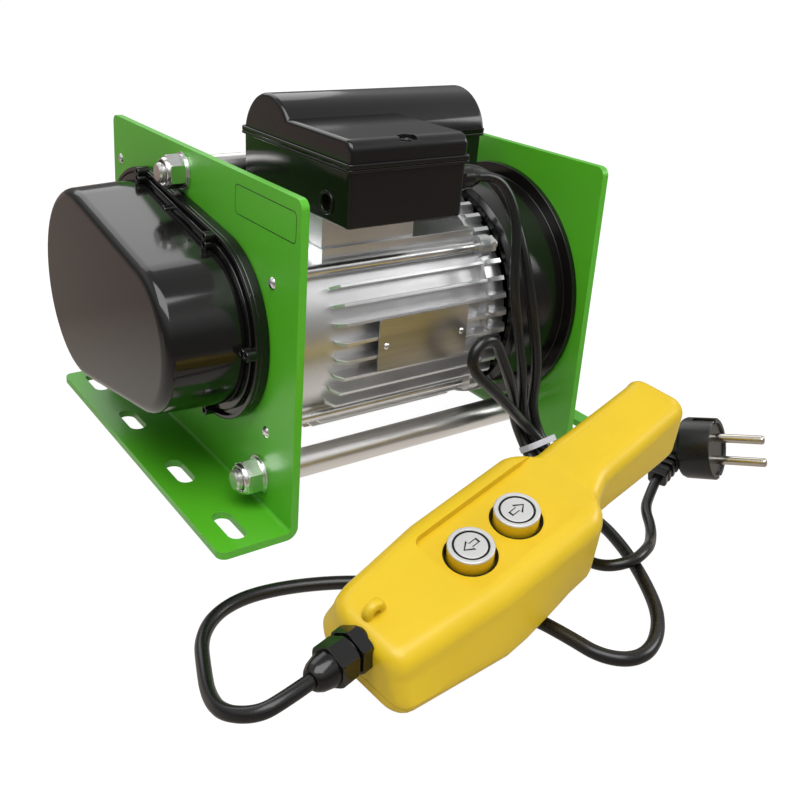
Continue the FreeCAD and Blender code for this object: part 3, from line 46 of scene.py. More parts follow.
print("frame loaded")


# camera, at the photograph's place
view = {
    "place": (-0.45094, -0.68724, 0.40497),
    "heading": 34.108,
    "down": 19.936,
    "roll": 3.072,
    "lens": 44.35,
    "shift": (0.0625, -0.125),
}


def makeCamera():
    data = bpy.data.cameras.new("camera")
    data.lens = view["lens"]
    data.sensor_width = 36
    data.shift_x, data.shift_y = view["shift"]
    data.clip_start = 0.01
    camera = bpy.data.objects.new("camera", data)
    bpy.context.collection.objects.link(camera)
    heading, down, roll = (math.radians(view[name]) for name in ("heading", "down", "roll"))
    ahead = Vector((math.sin(heading) * math.cos(down), math.cos(heading) * math.cos(down), -math.sin(down)))
    right = Vector((math.cos(heading), -math.sin(heading), 0))
    up = right.cross(ahead)
    right, up = math.cos(roll) * right + math.sin(roll) * up, math.cos(roll) * up - math.sin(roll) * right
    turn = Matrix((right, up, -ahead)).transposed()
    camera.matrix_world = Matrix.Translation(view["place"]) @ turn.to_4x4()
    bpy.context.scene.camera = camera


makeCamera()
print("camera placed")


# materials
def newMaterial(name):
    material = bpy.data.materials.new(name)
    material.use_nodes = True
    tree, links = material.node_tree.nodes, material.node_tree.links
    return material, tree, links, tree["Principled BSDF"]


def objectCoords(tree, links, scale=(1, 1, 1)):
    coords = tree.new("ShaderNodeTexCoord")
    mapping = tree.new("ShaderNodeMapping")
    mapping.inputs["Scale"].default_value = scale
    links.new(coords.outputs["Object"], mapping.inputs["Vector"])
    return mapping.outputs["Vector"]


def noise(tree, links, coords, scale, detail):
    texture = tree.new("ShaderNodeTexNoise")
    texture.inputs["Scale"].default_value = scale
    texture.inputs["Detail"].default_value = detail
    links.new(coords, texture.inputs["Vector"])
    return texture.outputs["Fac"]


def ramp(tree, links, value, stops):
    node = tree.new("ShaderNodeValToRGB")
    while len(node.color_ramp.elements) < len(stops):
        node.color_ramp.elements.new(0.5)
    for element, (place, colour) in zip(node.color_ramp.elements, stops):
        element.position = place
        element.color = (*colour, 1)
    links.new(value, node.inputs["Fac"])
    return node.outputs["Color"]


def spread(tree, links, value, low, high):
    node = tree.new("ShaderNodeMapRange")
    node.inputs["To Min"].default_value = low
    node.inputs["To Max"].default_value = high
    links.new(value, node.inputs["Value"])
    return node.outputs["Result"]


def bump(tree, links, heights, strength, distance):
    node = tree.new("ShaderNodeBump")
    node.inputs["Strength"].default_value = strength
    node.inputs["Distance"].default_value = distance
    links.new(heights, node.inputs["Height"])
    return node.outputs["Normal"]


# a surface with uneven tone and gloss over a fine grain
def finish(name, colour, roughness, metal=0.0, grain=900, grainHeight=0.00002, grainAmount=0.3, tint=0.06,
           roughSpread=0.06, stretch=(1, 1, 1), coat=0.0, cloudy=12):
    material, tree, links, shader = newMaterial(name)
    coords = objectCoords(tree, links, stretch)
    clouds = noise(tree, links, coords, cloudy, 4)
    fine = noise(tree, links, coords, grain, 2)
    dark = tuple(channel * (1 - tint) for channel in colour)
    light = tuple(min(1, channel * (1 + tint)) for channel in colour)
    links.new(ramp(tree, links, clouds, [(0.3, dark), (0.7, light)]), shader.inputs["Base Color"])
    links.new(spread(tree, links, fine, max(0.02, roughness - roughSpread), roughness + roughSpread),
              shader.inputs["Roughness"])
    links.new(bump(tree, links, fine, grainAmount, grainHeight), shader.inputs["Normal"])
    shader.inputs["Metallic"].default_value = metal
    shader.inputs["Coat Weight"].default_value = coat
    shader.inputs["Coat Roughness"].default_value = 0.08
    return material


finishes = {
    "green_paint": finish("greenPowderCoat", (0.085, 0.43, 0.016), 0.36, grain=1400, grainHeight=0.00003,
                          grainAmount=0.12, tint=0.04, coat=0.1),
    "zinc_steel": finish("brightZinc", (0.80, 0.80, 0.79), 0.22, metal=1, grain=2500, tint=0.08, cloudy=60),
    "polished_steel": finish("turnedRod", (0.74, 0.725, 0.71), 0.30, metal=1, grain=700, tint=0.08,
                             stretch=(1, 12, 12), grainAmount=0.15),
    "gear_steel": finish("machinedSteel", (0.40, 0.39, 0.38), 0.34, metal=1, grain=1500, tint=0.1),
    "motor_aluminium": finish("castAluminium", (0.72, 0.72, 0.73), 0.34, metal=0.92, grain=1600, tint=0.06,
                              grainHeight=0.00004, grainAmount=0.2, cloudy=30),
    "black_gloss": finish("glossBlack", (0.0060, 0.0056, 0.0054), 0.12, grain=1800, grainHeight=0.00001,
                          grainAmount=0.06, tint=0.1, roughSpread=0.03),
    "black_satin": finish("satinBlack", (0.0060, 0.0054, 0.0050), 0.17, grain=3200, grainHeight=0.00003,
                          grainAmount=0.15, tint=0.1),
    "pendant_yellow": finish("yellowShell", (0.72, 0.49, 0.012), 0.36, grain=2600, grainHeight=0.00002,
                             grainAmount=0.1, tint=0.03, cloudy=25),
    "button_silver": finish("silverCap", (0.72, 0.72, 0.71), 0.36, metal=0.55, grain=3000, tint=0.05),
    "black_rubber": finish("blackRubber", (0.0065, 0.0065, 0.0065), 0.28, grain=2400, grainHeight=0.00004,
                           grainAmount=0.2, tint=0.1),
    "tie_white": finish("paleBand", (0.52, 0.52, 0.56), 0.35, grain=1500, tint=0.05),
    "pin_nickel": finish("nickelPins", (0.66, 0.62, 0.55), 0.18, metal=1, grain=1800, tint=0.05),
    "nameplate_metal": finish("brushedPlate", (0.56, 0.55, 0.545), 0.34, metal=1, grain=500, tint=0.12,
                              stretch=(1, 1, 20), grainAmount=0.2, cloudy=8),
    "copper_windings": finish("windingCopper", (0.50, 0.20, 0.07), 0.35, metal=1, grain=1200, tint=0.15),
    "core_steel": finish("coreLaminations", (0.20, 0.20, 0.21), 0.45, metal=1, grain=2200, tint=0.1,
                         stretch=(30, 1, 1)),
    "bearing_steel": finish("groundSteel", (0.55, 0.55, 0.56), 0.2, metal=1, grain=2200, tint=0.05),
    "bronze": finish("sinteredBronze", (0.42, 0.26, 0.10), 0.4, metal=1, grain=2600, tint=0.1),
    "cream_plastic": finish("creamMoulding", (0.62, 0.56, 0.44), 0.4, grain=1800, tint=0.04),
    "can_aluminium": finish("drawnCan", (0.58, 0.58, 0.59), 0.3, metal=1, grain=1800, tint=0.05),
}
for part in frame["record"]["subparts"]:
    node = nodes[part["node"]]
    node.data.materials.clear()
    node.data.materials.append(finishes[part["material_slot"]])
slotOf = {part["node"]: part["material_slot"] for part in frame["record"]["subparts"]}
bodyOf = {node: body for body, members in frame["record"]["behaviour"]["bodies"].items() for node in members}
print("finishes made")


# making and finishing pieces
def linked(name, data):
    piece = bpy.data.objects.new(name, data)
    bpy.context.collection.objects.link(piece)
    return piece


def meshFrom(build, name):
    mesh = bpy.data.meshes.new(name + "Mesh")
    bmesh.ops.recalc_face_normals(build, faces=build.faces)
    build.to_mesh(mesh)
    build.free()
    return mesh


# what the modifiers make of a piece becomes its mesh
def settle(piece):
    shaped = bpy.data.meshes.new_from_object(piece.evaluated_get(bpy.context.evaluated_depsgraph_get()))
    piece.modifiers.clear()
    piece.data = shaped


# bevelled edges and face-weighted normals
def easeEdges(piece, width, segments=3, angle=35, clamp=True, outerCorner="MITER_SHARP"):
    piece.data.polygons.foreach_set("use_smooth", [True] * len(piece.data.polygons))
    if width:
        bevel = piece.modifiers.new("edges", "BEVEL")
        bevel.width = width
        bevel.segments = segments
        bevel.limit_method = "ANGLE"
        bevel.angle_limit = math.radians(angle)
        bevel.miter_outer = outerCorner
        bevel.use_clamp_overlap = clamp
    weighted = piece.modifiers.new("normals", "WEIGHTED_NORMAL")
    weighted.keep_sharp = True
    settle(piece)


def cutWith(piece, cutter, operation="DIFFERENCE"):
    boolean = piece.modifiers.new("cut", "BOOLEAN")
    boolean.object = cutter
    boolean.operation = operation
    boolean.solver = "EXACT"
    settle(piece)
    bpy.data.objects.remove(cutter)


def joinPieces(name, pieces):
    build = bmesh.new()
    for piece in pieces:
        build.from_mesh(piece.data)
        bpy.data.objects.remove(piece)
    mesh = bpy.data.meshes.new(name + "Mesh")
    build.to_mesh(mesh)
    build.free()
    return linked(name, mesh)


# the finish, the body that it rides on and the nodes that it stands for
def dress(piece, slot, body, *replaced):
    piece.data.materials.clear()
    piece.data.materials.append(finishes[slot])
    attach(piece, body)
    if replaced:
        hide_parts(*replaced)
    return piece


# cords
cords = {
    "mains": {
        "node": "mains_cord",
        "width": 0.008,
        "points": [(27, -139, 246), (44, -139, 246), (58, -144, 232), (63, -152, 208), (58, -159, 164),
                   (70, -161, 114), (81, -160, 74), (90.9, -152.7, 39.2), (94.3, -178.6, 8.2), (90, -197, 11),
                   (79, -213, 13.8), (62, -230, 13.8), (48, -249, 5), (35, -270, 4.1), (26, -290, 4.1),
                   (28, -311, 8.5), (45, -321, 13.8), (66, -315, 13.8), (86, -302, 5.5), (103, -288, 4.1),
                   (119, -268, 4.1), (137.9, -255.8, 4.4), (157, -246, 9)],
        "length": 0.584,
    },
    "pendant": {
        "node": "pendant_cord",
        "width": 0.009,
        "points": [(27, -115, 246), (46, -115, 246), (64, -121, 234), (73, -135, 213), (76, -152, 176),
                   (83, -161, 130), (93, -162, 84), (100.5, -152.7, 39.3), (104.3, -178.7, 6.8),
                   (127, -197, 4.6), (129, -215, 4.6), (117, -229, 4.6), (100, -231, 4.6),
                   (90, -220, 4.6), (97, -203, 6), (102.6, -186, 13), (83, -165, 38.8), (58, -173, 62),
                   (34, -174, 85), (13, -173, 104), (13, -171.5, 118), (24, -170.5, 127),
                   (37, -169.5, 123), (46, -168, 108), (60, -166, 84), (72, -161, 62),
                   (81.7, -152.7, 39.2), (85.1, -178.6, 6.2), (78, -204, 4.6), (70, -232, 4.6),
                   (74, -263, 4.6), (62, -300, 4.6), (43, -336, 4.6), (23, -364, 4.6), (-3, -382, 4.6),
                   (-24, -384, 4.6), (-39, -371, 4.6), (-43, -349, 4.6), (-50, -322, 4.6),
                   (-74, -284, 4.6), (-108, -249, 4.6), (-148, -226, 4.6), (-192, -214, 4.6),
                   (-222, -219, 4.6), (-242, -237, 4.6), (-252, -263, 5), (-261, -288, 9),
                   (-264, -312, 17), (-252, -329, 24.5), (-236.7, -330.2, 28.8), (-219, -326.7, 30.2)],
        "length": 1.417,
    },
}


def makeCord(name, facts):
    curve = bpy.data.curves.new(name + "CordCurve", "CURVE")
    curve.dimensions = "3D"
    spline = curve.splines.new("NURBS")
    spline.points.add(len(facts["points"]) - 1)
    for point, place in zip(spline.points, facts["points"]):
        point.co = (place[0] / 1000, place[1] / 1000, place[2] / 1000, 1)
    spline.order_u = 3
    spline.use_endpoint_u = True
    spline.resolution_u = 8
    curve.bevel_depth = facts["width"] / 2
    curve.bevel_resolution = 5
    return dress(linked(name + "CordRun", curve), "black_rubber", rootBody, facts["node"])


mainsCord = makeCord("mains", cords["mains"])
pendantCord = makeCord("pendant", cords["pendant"])


# a copy of a node's mesh, merged, with flat areas joined and edges rounded
def easedCopy(nodeName, pieceName, width):
    mesh = nodes[nodeName].data.copy()
    mesh.name = pieceName + "Mesh"
    build = bmesh.new()
    build.from_mesh(mesh)
    bmesh.ops.remove_doubles(build, verts=build.verts, dist=0.00001)
    bmesh.ops.dissolve_limit(build, angle_limit=math.radians(1), verts=build.verts, edges=build.edges)
    build.to_mesh(mesh)
    build.free()
    piece = linked(pieceName, mesh)
    easeEdges(piece, width, 2, 30, outerCorner="MITER_ARC")
    dress(piece, slotOf[nodeName], bodyOf[nodeName], nodeName)


easedEdges = {
    "side_plate_left": ("leftPlate", 0.0008),
    "side_plate_right": ("rightPlate", 0.0008),
    "motor_housing": ("finnedHousing", 0.00025),
    "motor_end_fan": ("fanEndShield", 0.0003),
    "fan_cover": ("fanBell", 0.0006),
}
for nodeName, (pieceName, width) in easedEdges.items():
    easedCopy(nodeName, pieceName, width)
print("edges eased")


# shapes from outlines
# corners given as (a, b, radius), each turned into an arc
def roundCorners(corners, steps=6):
    outline = []
    count = len(corners)
    for index, (a, b, radius) in enumerate(corners):
        here = Vector((a, b))
        back = (Vector(corners[index - 1][:2]) - here).normalized()
        ahead = (Vector(corners[(index + 1) % count][:2]) - here).normalized()
        if radius <= 0:
            outline.append((a, b))
            continue
        half = back.angle(ahead) / 2
        centre = here + (back + ahead).normalized() * (radius / math.sin(half))
        start = here + back * (radius / math.tan(half)) - centre
        end = here + ahead * (radius / math.tan(half)) - centre
        turn = math.atan2(start.x * end.y - start.y * end.x, start.dot(end))
        for step in range(steps + 1):
            angle = turn * step / steps
            outline.append((centre.x + start.x * math.cos(angle) - start.y * math.sin(angle),
                            centre.y + start.x * math.sin(angle) + start.y * math.cos(angle)))
    return outline


def roundBlock(left, low, right, high, radius, steps=6):
    corners = ((left, low), (right, low), (right, high), (left, high))
    return roundCorners([(a, b, radius) for a, b in corners], steps)


# the line a belt takes round two circles lying left and right of each other
def beltLine(left, leftRadius, right, rightRadius, steps=32):
    across = Vector(right) - Vector(left)
    heading = math.atan2(across.y, across.x)
    lean = math.acos((leftRadius - rightRadius) / across.length)
    outline = []
    for step in range(steps + 1):
        angle = heading + lean + (2 * math.pi - 2 * lean) * step / steps
        outline.append((left[0] + leftRadius * math.cos(angle), left[1] + leftRadius * math.sin(angle)))
    for step in range(steps + 1):
        angle = heading - lean + 2 * lean * step / steps
        outline.append((right[0] + rightRadius * math.cos(angle), right[1] + rightRadius * math.sin(angle)))
    return outline


# a closed slab between two outlines of one point count, placed by a rule from (a, b, depth)
def slab(name, nearLine, farLine, near, far, place):
    build = bmesh.new()
    rings = []
    for line, depth in ((nearLine, near), (farLine, far)):
        rings.append([build.verts.new(Vector(place(a, b, depth)) * 0.001) for a, b in line])
    count = len(nearLine)
    for index in range(count):
        after = (index + 1) % count
        build.faces.new((rings[0][index], rings[0][after], rings[1][after], rings[1][index]))
    build.faces.new(rings[0])
    build.faces.new(rings[1])
    return linked(name, meshFrom(build, name))


# a ring with a flat rim between two outlines
def ringSlab(name, outerLine, innerLine, near, far, place):
    build = bmesh.new()
    rings = [[build.verts.new(Vector(place(a, b, depth)) * 0.001) for a, b in line]
             for line in (outerLine, innerLine) for depth in (near, far)]
    count = len(outerLine)
    for index in range(count):
        after = (index + 1) % count
        for one, other in ((0, 1), (1, 3), (3, 2), (2, 0)):
            build.faces.new((rings[one][index], rings[one][after], rings[other][after], rings[other][index]))
    return linked(name, meshFrom(build, name))


# a turned form from (radius, height) pairs about an axis
def turned(name, profile, matrix=Matrix.Identity(4), steps=48):
    build = bmesh.new()
    turns = [2 * math.pi * step / steps for step in range(steps)]
    rings = []
    for radius, height in profile:
        if radius == 0:
            rings.append([build.verts.new(matrix @ Vector((0, 0, height * 0.001)))])
            continue
        spots = [Vector((radius * math.cos(turn), radius * math.sin(turn), height)) * 0.001 for turn in turns]
        rings.append([build.verts.new(matrix @ spot) for spot in spots])
    for low, high in zip(rings, rings[1:]):
        for step in range(steps):
            after = (step + 1) % steps
            sides = ((low, step), (low, after), (high, after), (high, step))
            corners = [ring[index % len(ring)] for ring, index in sides]
            build.faces.new(list(dict.fromkeys(corners)))
    return linked(name, meshFrom(build, name))


# the node tree that puts a unit on every point, turned as the point says
def repeatTree():
    tree = bpy.data.node_groups.new("repeatUnits", "GeometryNodeTree")
    tree.interface.new_socket("Places", in_out="INPUT", socket_type="NodeSocketGeometry")
    sockets = {"unit": tree.interface.new_socket("Unit", in_out="INPUT", socket_type="NodeSocketObject"),
               "size": tree.interface.new_socket("Size", in_out="INPUT", socket_type="NodeSocketFloat"),
               "finish": tree.interface.new_socket("Finish", in_out="INPUT", socket_type="NodeSocketMaterial")}
    tree.interface.new_socket("Units", in_out="OUTPUT", socket_type="NodeSocketGeometry")
    make, link = tree.nodes.new, tree.links.new
    entry, leave = make("NodeGroupInput"), make("NodeGroupOutput")
    info, turn = make("GeometryNodeObjectInfo"), make("GeometryNodeInputNamedAttribute")
    turn.data_type = "FLOAT_VECTOR"
    turn.inputs["Name"].default_value = "turn"
    spread, real, colour = (make("GeometryNodeInstanceOnPoints"), make("GeometryNodeRealizeInstances"),
                            make("GeometryNodeSetMaterial"))
    link(entry.outputs["Places"], spread.inputs["Points"])
    link(entry.outputs["Unit"], info.inputs["Object"])
    link(info.outputs["Geometry"], spread.inputs["Instance"])
    link(turn.outputs["Attribute"], spread.inputs["Rotation"])
    link(entry.outputs["Size"], spread.inputs["Scale"])
    link(spread.outputs["Instances"], real.inputs["Geometry"])
    link(real.outputs["Geometry"], colour.inputs["Geometry"])
    link(entry.outputs["Finish"], colour.inputs["Material"])
    link(colour.outputs["Geometry"], leave.inputs["Units"])
    return tree, sockets


repeats, repeatSockets = repeatTree()


def repeatUnit(name, unit, matrices, slot):
    mesh = bpy.data.meshes.new(name + "Places")
    mesh.from_pydata([matrix.to_translation() for matrix in matrices], [], [])
    turns = mesh.attributes.new("turn", "FLOAT_VECTOR", "POINT")
    for item, matrix in zip(turns.data, matrices):
        item.vector = matrix.to_euler()
    piece = linked(name, mesh)
    nodesModifier = piece.modifiers.new("repeat", "NODES")
    nodesModifier.node_group = repeats
    nodesModifier[repeatSockets["unit"].identifier] = unit
    nodesModifier[repeatSockets["size"].identifier] = 1.0
    nodesModifier[repeatSockets["finish"].identifier] = finishes[slot]
    settle(piece)
    bpy.data.objects.remove(unit)
    return piece


def hexLine(across):
    corner = across / math.sqrt(3)
    return [(corner * math.cos(math.radians(turn)), corner * math.sin(math.radians(turn)))
            for turn in range(30, 390, 60)]


# a hexagon with its corners turned off at both ends
def hexNut(name, across, high, bevel=0.0003):
    nut = slab(name, hexLine(across), hexLine(across), 0, high, byXY)
    corner = across / math.sqrt(3)
    cone = turned("cone", [(0, -0.5), (across / 2 + 0.5, -0.5), (corner + 0.1, 0.9), (corner + 0.1, high - 0.9),
                           (across / 2 + 0.5, high + 0.5), (0, high + 0.5)], steps=72)
    cutWith(nut, cone, "INTERSECT")
    easeEdges(nut, bevel, 2, 25)
    return nut


def byYZ(a, b, depth):
    return (depth, a, b)


def byXY(a, b, depth):
    return (a, b, depth)


def byXZ(a, b, depth):
    return (a, depth, b)


def along(place, direction):
    turn = Vector(direction).to_track_quat("Z", "Y").to_matrix().to_4x4()
    return Matrix.Translation(Vector(place) * 0.001) @ turn


# gear housing on the left plate
gearing = {
    "front": (-58, 129.5),
    "back": (71, 128),
    "plate": (73, 93),
    "cover": (60.5, 83),
    "lipOut": 5,
    "lipIn": 1.5,
    "lipThick": 4,
    "rim": 3.5,
    "rimHigh": 3,
    "plateOuter": -139,
    "floor": -147,
    "face": -211,
    "draw": 3.35,
    "edge": 0.008,
    "lugReach": (2.5, 8.7),
    "webHalf": 2.6,
    "webHigh": 8.6,
    "lugs": (("front", 91), ("front", 179), ("front", 268), ("back", 92), ("back", 0), ("back", 272),
             ("back", 128)),
}


# the outline round both shafts, from the radii round each
def gearLine(radii, change=0):
    return beltLine(gearing["front"], radii[0] + change, gearing["back"], radii[1] + change)


def makeGearHousing():
    outer, inner, floorLevel = gearing["plate"], gearing["cover"], gearing["floor"]
    plate = slab("gearSlab", gearLine(outer), gearLine(outer), gearing["plateOuter"], floorLevel, byYZ)
    easeEdges(plate, 0.0012)
    rim = ringSlab("gearRim", gearLine(outer), gearLine(outer, -gearing["rim"]), floorLevel + 0.5,
                   floorLevel - gearing["rimHigh"], byYZ)
    easeEdges(rim, 0.0008)
    lug = turned("lug", [(0, 0), (4.2, 0), (4.2, 9.2), (3.8, 10), (2.5, 10), (2.2, 9.6), (2.2, 4), (0, 4)],
                 steps=24)
    easeEdges(lug, 0.0003, 2)
    screw = turned("screwUnit", [(0, 4.1), (2, 4.1), (2, 6), (1.6, 6.4), (0.9, 6.4), (0.7, 5.8), (0, 5.8)],
                   steps=16)
    spots, webs = [], []
    near, far = gearing["lugReach"]
    half = gearing["webHalf"]
    for end, angle in gearing["lugs"]:
        centre = Vector(gearing[end])
        radius = inner[0 if end == "front" else 1]
        outwards = Vector((math.cos(math.radians(angle)), math.sin(math.radians(angle))))
        side = Vector((-outwards.y, outwards.x))
        for reach in (near, far):
            spots.append(along((floorLevel, *(centre + outwards * (radius + reach))), (-1, 0, 0)))
        web = roundBlock(radius + near, -half, radius + far, half, 0.5, 3)
        line = [tuple(centre + outwards * a + side * b) for a, b in web]
        webs.append(slab("lugWeb", line, line, floorLevel, floorLevel - gearing["webHigh"], byYZ))
        easeEdges(webs[-1], 0.0003, 2)
    lugs = repeatUnit("gearLugs", lug, spots, "black_gloss")
    dress(repeatUnit("coverScrews", screw, spots, "black_satin"), "black_satin", rootBody, "cover_screws")
    dress(joinPieces("gearPlate", [plate, rim, lugs, *webs]), "black_gloss", rootBody, "gearbox_base")
    cover = slab("coverForm", gearLine(inner), gearLine(inner, -gearing["draw"]), floorLevel,
                 gearing["face"], byYZ)
    easeEdges(cover, gearing["edge"], 8)
    lip = ringSlab("coverLip", gearLine(inner, gearing["lipOut"]), gearLine(inner, -gearing["lipIn"]),
                   floorLevel, floorLevel - gearing["lipThick"], byYZ)
    easeEdges(lip, 0.0009)
    dress(joinPieces("gearCover", [cover, lip]), "black_gloss", rootBody, "gearbox_cover")


makeGearHousing()
print("gear housing made")


# terminal box
box = {
    "left": -96,
    "front": -154,
    "frontRight": 9,
    "right": 92,
    "step": -72,
    "back": 3,
    "bottom": 221,
    "seam": 263,
    "top": 282,
    "humpRadius": 37,
    "humpY": -36,
    "humpZ": 259.5,
    "edge": 0.0032,
    "rimHigh": 3.6,
    "bandHigh": 2.4,
    "screw": (-44, -145),
    "notchDeep": 3.2,
    "entry": (29.5, 13.5),
    "entryRadius": 6.3,
}


def boxLine(grow=0, corner=4):
    return roundCorners([(box["left"] - grow, box["front"] - grow, corner),
                         (box["frontRight"] + grow, box["front"] - grow, corner),
                         (box["frontRight"] + grow, box["step"] - grow, 1.5),
                         (box["right"] + grow, box["step"] - grow, corner),
                         (box["right"] + grow, box["back"] + grow, corner),
                         (box["left"] - grow, box["back"] + grow, corner)], 5)


# the lower box with the spare entry in its left wall
def makeBoxBase():
    lower = slab("boxLower", boxLine(-3, 3), boxLine(-2, 4), box["bottom"], box["seam"] - 0.6, byXY)
    easeEdges(lower, 0.0012)
    entryY, entryZ = box["front"] + box["entry"][0], box["bottom"] + box["entry"][1]
    entry = turned("entryRing", [(6.2, 4), (6.2, -0.6), (6.6, -1.2), (8.2, -1.2), (8.6, -0.7), (8.6, 1.5)],
                   along((box["left"] + 2.4, entryY, entryZ), (1, 0, 0)))
    bore = box["entryRadius"]
    hole = turned("entryHole", [(0, 0), (bore, 0), (bore, 12), (0, 12)],
                  along((box["left"] - 4, entryY, entryZ), (1, 0, 0)), 40)
    cutWith(lower, hole)
    easeEdges(entry, 0.0002, 1)
    band = slab("boxBand", boxLine(0), boxLine(0), box["seam"] - 0.2, box["seam"] - box["bandHigh"], byXY)
    easeEdges(band, 0.0006)
    dress(joinPieces("boxBase", [lower, band, entry]), "black_satin", rootBody, "terminal_box_base")


# a low front with a notch for its screw, a round hump behind it and a rim round both
def makeBoxLid():
    radius = box["humpRadius"]
    foot = box["seam"] + 0.3
    inner = box["humpY"] - 4
    side = roundCorners([(inner, foot, 0), (box["front"] + 2, foot, 0), (box["front"] + 2, box["top"], 9),
                         (inner, box["top"], 0)], 10)
    lid = slab("lidFront", side, side, box["left"] + 2.06, box["frontRight"] - 2, byYZ)
    easeEdges(lid, box["edge"], 5, 40, False)
    screwX, screwY = box["screw"]
    level = box["top"] - box["notchDeep"]
    line = roundCorners([(screwX - 7, screwY - 14, 1), (screwX + 7, screwY - 14, 1),
                         (screwX + 7, screwY + 5, 5), (screwX - 7, screwY + 5, 5)], 5)
    cutWith(lid, slab("notchForm", line, line, level, box["top"] + 5, byXY))
    easeEdges(lid, 0.0003, 2, 50)
    low = math.degrees(math.asin((foot - box["humpZ"]) / radius))
    arch = []
    for step in range(49):
        turn = math.radians(low + (180 - 2 * low) * step / 48)
        arch.append((box["humpY"] + radius * math.cos(turn), box["humpZ"] + radius * math.sin(turn)))
    hump = slab("lidHump", arch, arch, box["left"] + 2, box["right"] - 2, byYZ)
    easeEdges(hump, box["edge"], 5, 50, False)
    rim = slab("lidRim", boxLine(0), boxLine(0), box["seam"], box["seam"] + box["rimHigh"], byXY)
    easeEdges(rim, 0.0009)
    dress(joinPieces("boxLid", [lid, hump, rim]), "black_gloss", rootBody, "terminal_box_lid")
    screw = turned("lidScrewForm", [(0, 0), (4.4, 0), (4.4, 0.8), (3.9, 1.2), (1.6, 1.2), (1.2, 0.2), (0, 0.2)],
                   along((screwX, screwY, level), (0, 0, 1)), 32)
    easeEdges(screw, 0.0001, 1)
    dress(screw, "black_satin", rootBody, "lid_screw")


makeBoxBase()
makeBoxLid()
print("terminal box made")


# hand-held control, in its own frame with the face upwards
handset = {
    "place": (-76.1, -304, 70),
    "turn": (9, -5.2, 8),
    "faceLevel": -2.5,
    "faceTilt": 7.8,
    "half": 42,
    "endHalf": 33,
    "flare": 7,
    "topRound": 13,
    "low": -58,
    "left": -110,
    "split": -48,
    "panel": (-44, 58, 78, 27),
    "panelDeep": 4.8,
    "buttons": {"up": 21.25, "down": -21.25},
    "buttonShift": -2,
    "buttonRadius": 14.8,
    "buttonHigh": 4,
    "wellRadius": 17.2,
    "wellDeep": 14,
    "grooveRadii": (10.3, 11.6),
    "arrow": ((-6.2, -1.9), (0.4, -1.9), (0.4, -4.6), (6.6, 0), (0.4, 4.6), (0.4, 1.9), (-6.2, 1.9)),
    "eye": (-96, 4, 1.2),
    "gland": (-110, 0, -28.5),
    "neck": ((74, 29.8, 4.6, -45.5), (76, 28.6, 4.8, -43.6), (79, 27.5, 5.2, -41.4), (82, 26.7, 5.8, -39.6),
             (86, 25.8, 6.5, -37.8), (90, 25.1, 7.3, -36.6), (95, 24.4, 8.2, -35.7), (100, 23.9, 9.1, -35),
             (110, 23.5, 10.8, -34.1), (130, 23.4, 14.1, -32.4), (160, 23.2, 19.4, -29.8),
             (178, 23, 22.9, -27.6)),
    "neckAside": 5.5,
    "tip": (190, 23, 24.8, -26.6),
    "tipRound": 8,
}
handsetTurn = [math.radians(angle) for angle in handset["turn"]]
handsetFrame = (Matrix.Translation(Vector(handset["place"]) * 0.001) @ Matrix.Rotation(handsetTurn[0], 4, "Z")
                @ Matrix.Rotation(handsetTurn[1], 4, "Y") @ Matrix.Rotation(handsetTurn[2], 4, "X"))
faceFrame = (handsetFrame @ Matrix.Translation((0, 0, handset["faceLevel"] * 0.001))
             @ Matrix.Rotation(-math.radians(handset["faceTilt"]), 4, "Y"))


def faceAt(x):
    return handset["faceLevel"] + x * math.tan(math.radians(handset["faceTilt"]))


# rings of the shell as (x, far half width, near half width, top, bottom, corner radius)
def handsetRings():
    rings = []
    left, low = handset["left"], handset["low"]
    for offset in (0, 0.3, 0.8, 1.6, 2.8, 4.4, 6.4, 9, 12, 16, 20, 30, 50, 80):
        x = left + offset
        far = near = handset["endHalf"] + (handset["half"] - handset["endHalf"]) * offset / 80
        if offset < 20:
            far = handset["endHalf"] - 18.5 + math.sqrt(400 - (20 - offset) ** 2)
        if offset < 9:
            near = handset["endHalf"] - 8.2 + math.sqrt(81 - (9 - offset) ** 2)
        inwards = 9 - math.sqrt(81 - (9 - offset) ** 2) if offset < 9 else 0
        rings.append((x, max(4, far - inwards * 0.8), near - inwards * 0.3, faceAt(x) - inwards,
                      low + inwards * 0.5, handset["topRound"] - inwards * 0.6))
    for x, rise in ((-10, 0), (10, 0.2), (26, 0.9), (38, 2), (46, 3.2), (52, 4.3)):
        rings.append((x, handset["half"], handset["half"], faceAt(x), low + rise, handset["topRound"]))
    for x, rise in ((56, 5.2), (60, 6.4), (64, 7.8), (68, 9.6), (71, 11)):
        half = 18 + math.sqrt(24 ** 2 - (x - 52) ** 2)
        rings.append((x, half, half, faceAt(x) - (x - 52) * 0.12, low + rise, 12))
    for x, half, top, bottom in handset["neck"]:
        aside = handset["neckAside"] * min(1, (x - 71) / 24)
        rings.append((x, half + aside, half - aside, top, bottom, 11))
    x, half, top, bottom = handset["tip"]
    depth = handset["tipRound"]
    for offset in (8, 5.4, 3.4, 1.9, 0.9, 0.3, 0):
        inwards = depth - math.sqrt(depth ** 2 - (depth - offset) ** 2)
        rings.append((x - offset, half + aside - inwards, half - aside - inwards, top - inwards,
                      bottom + inwards, 11 - inwards * 0.5))
    return rings


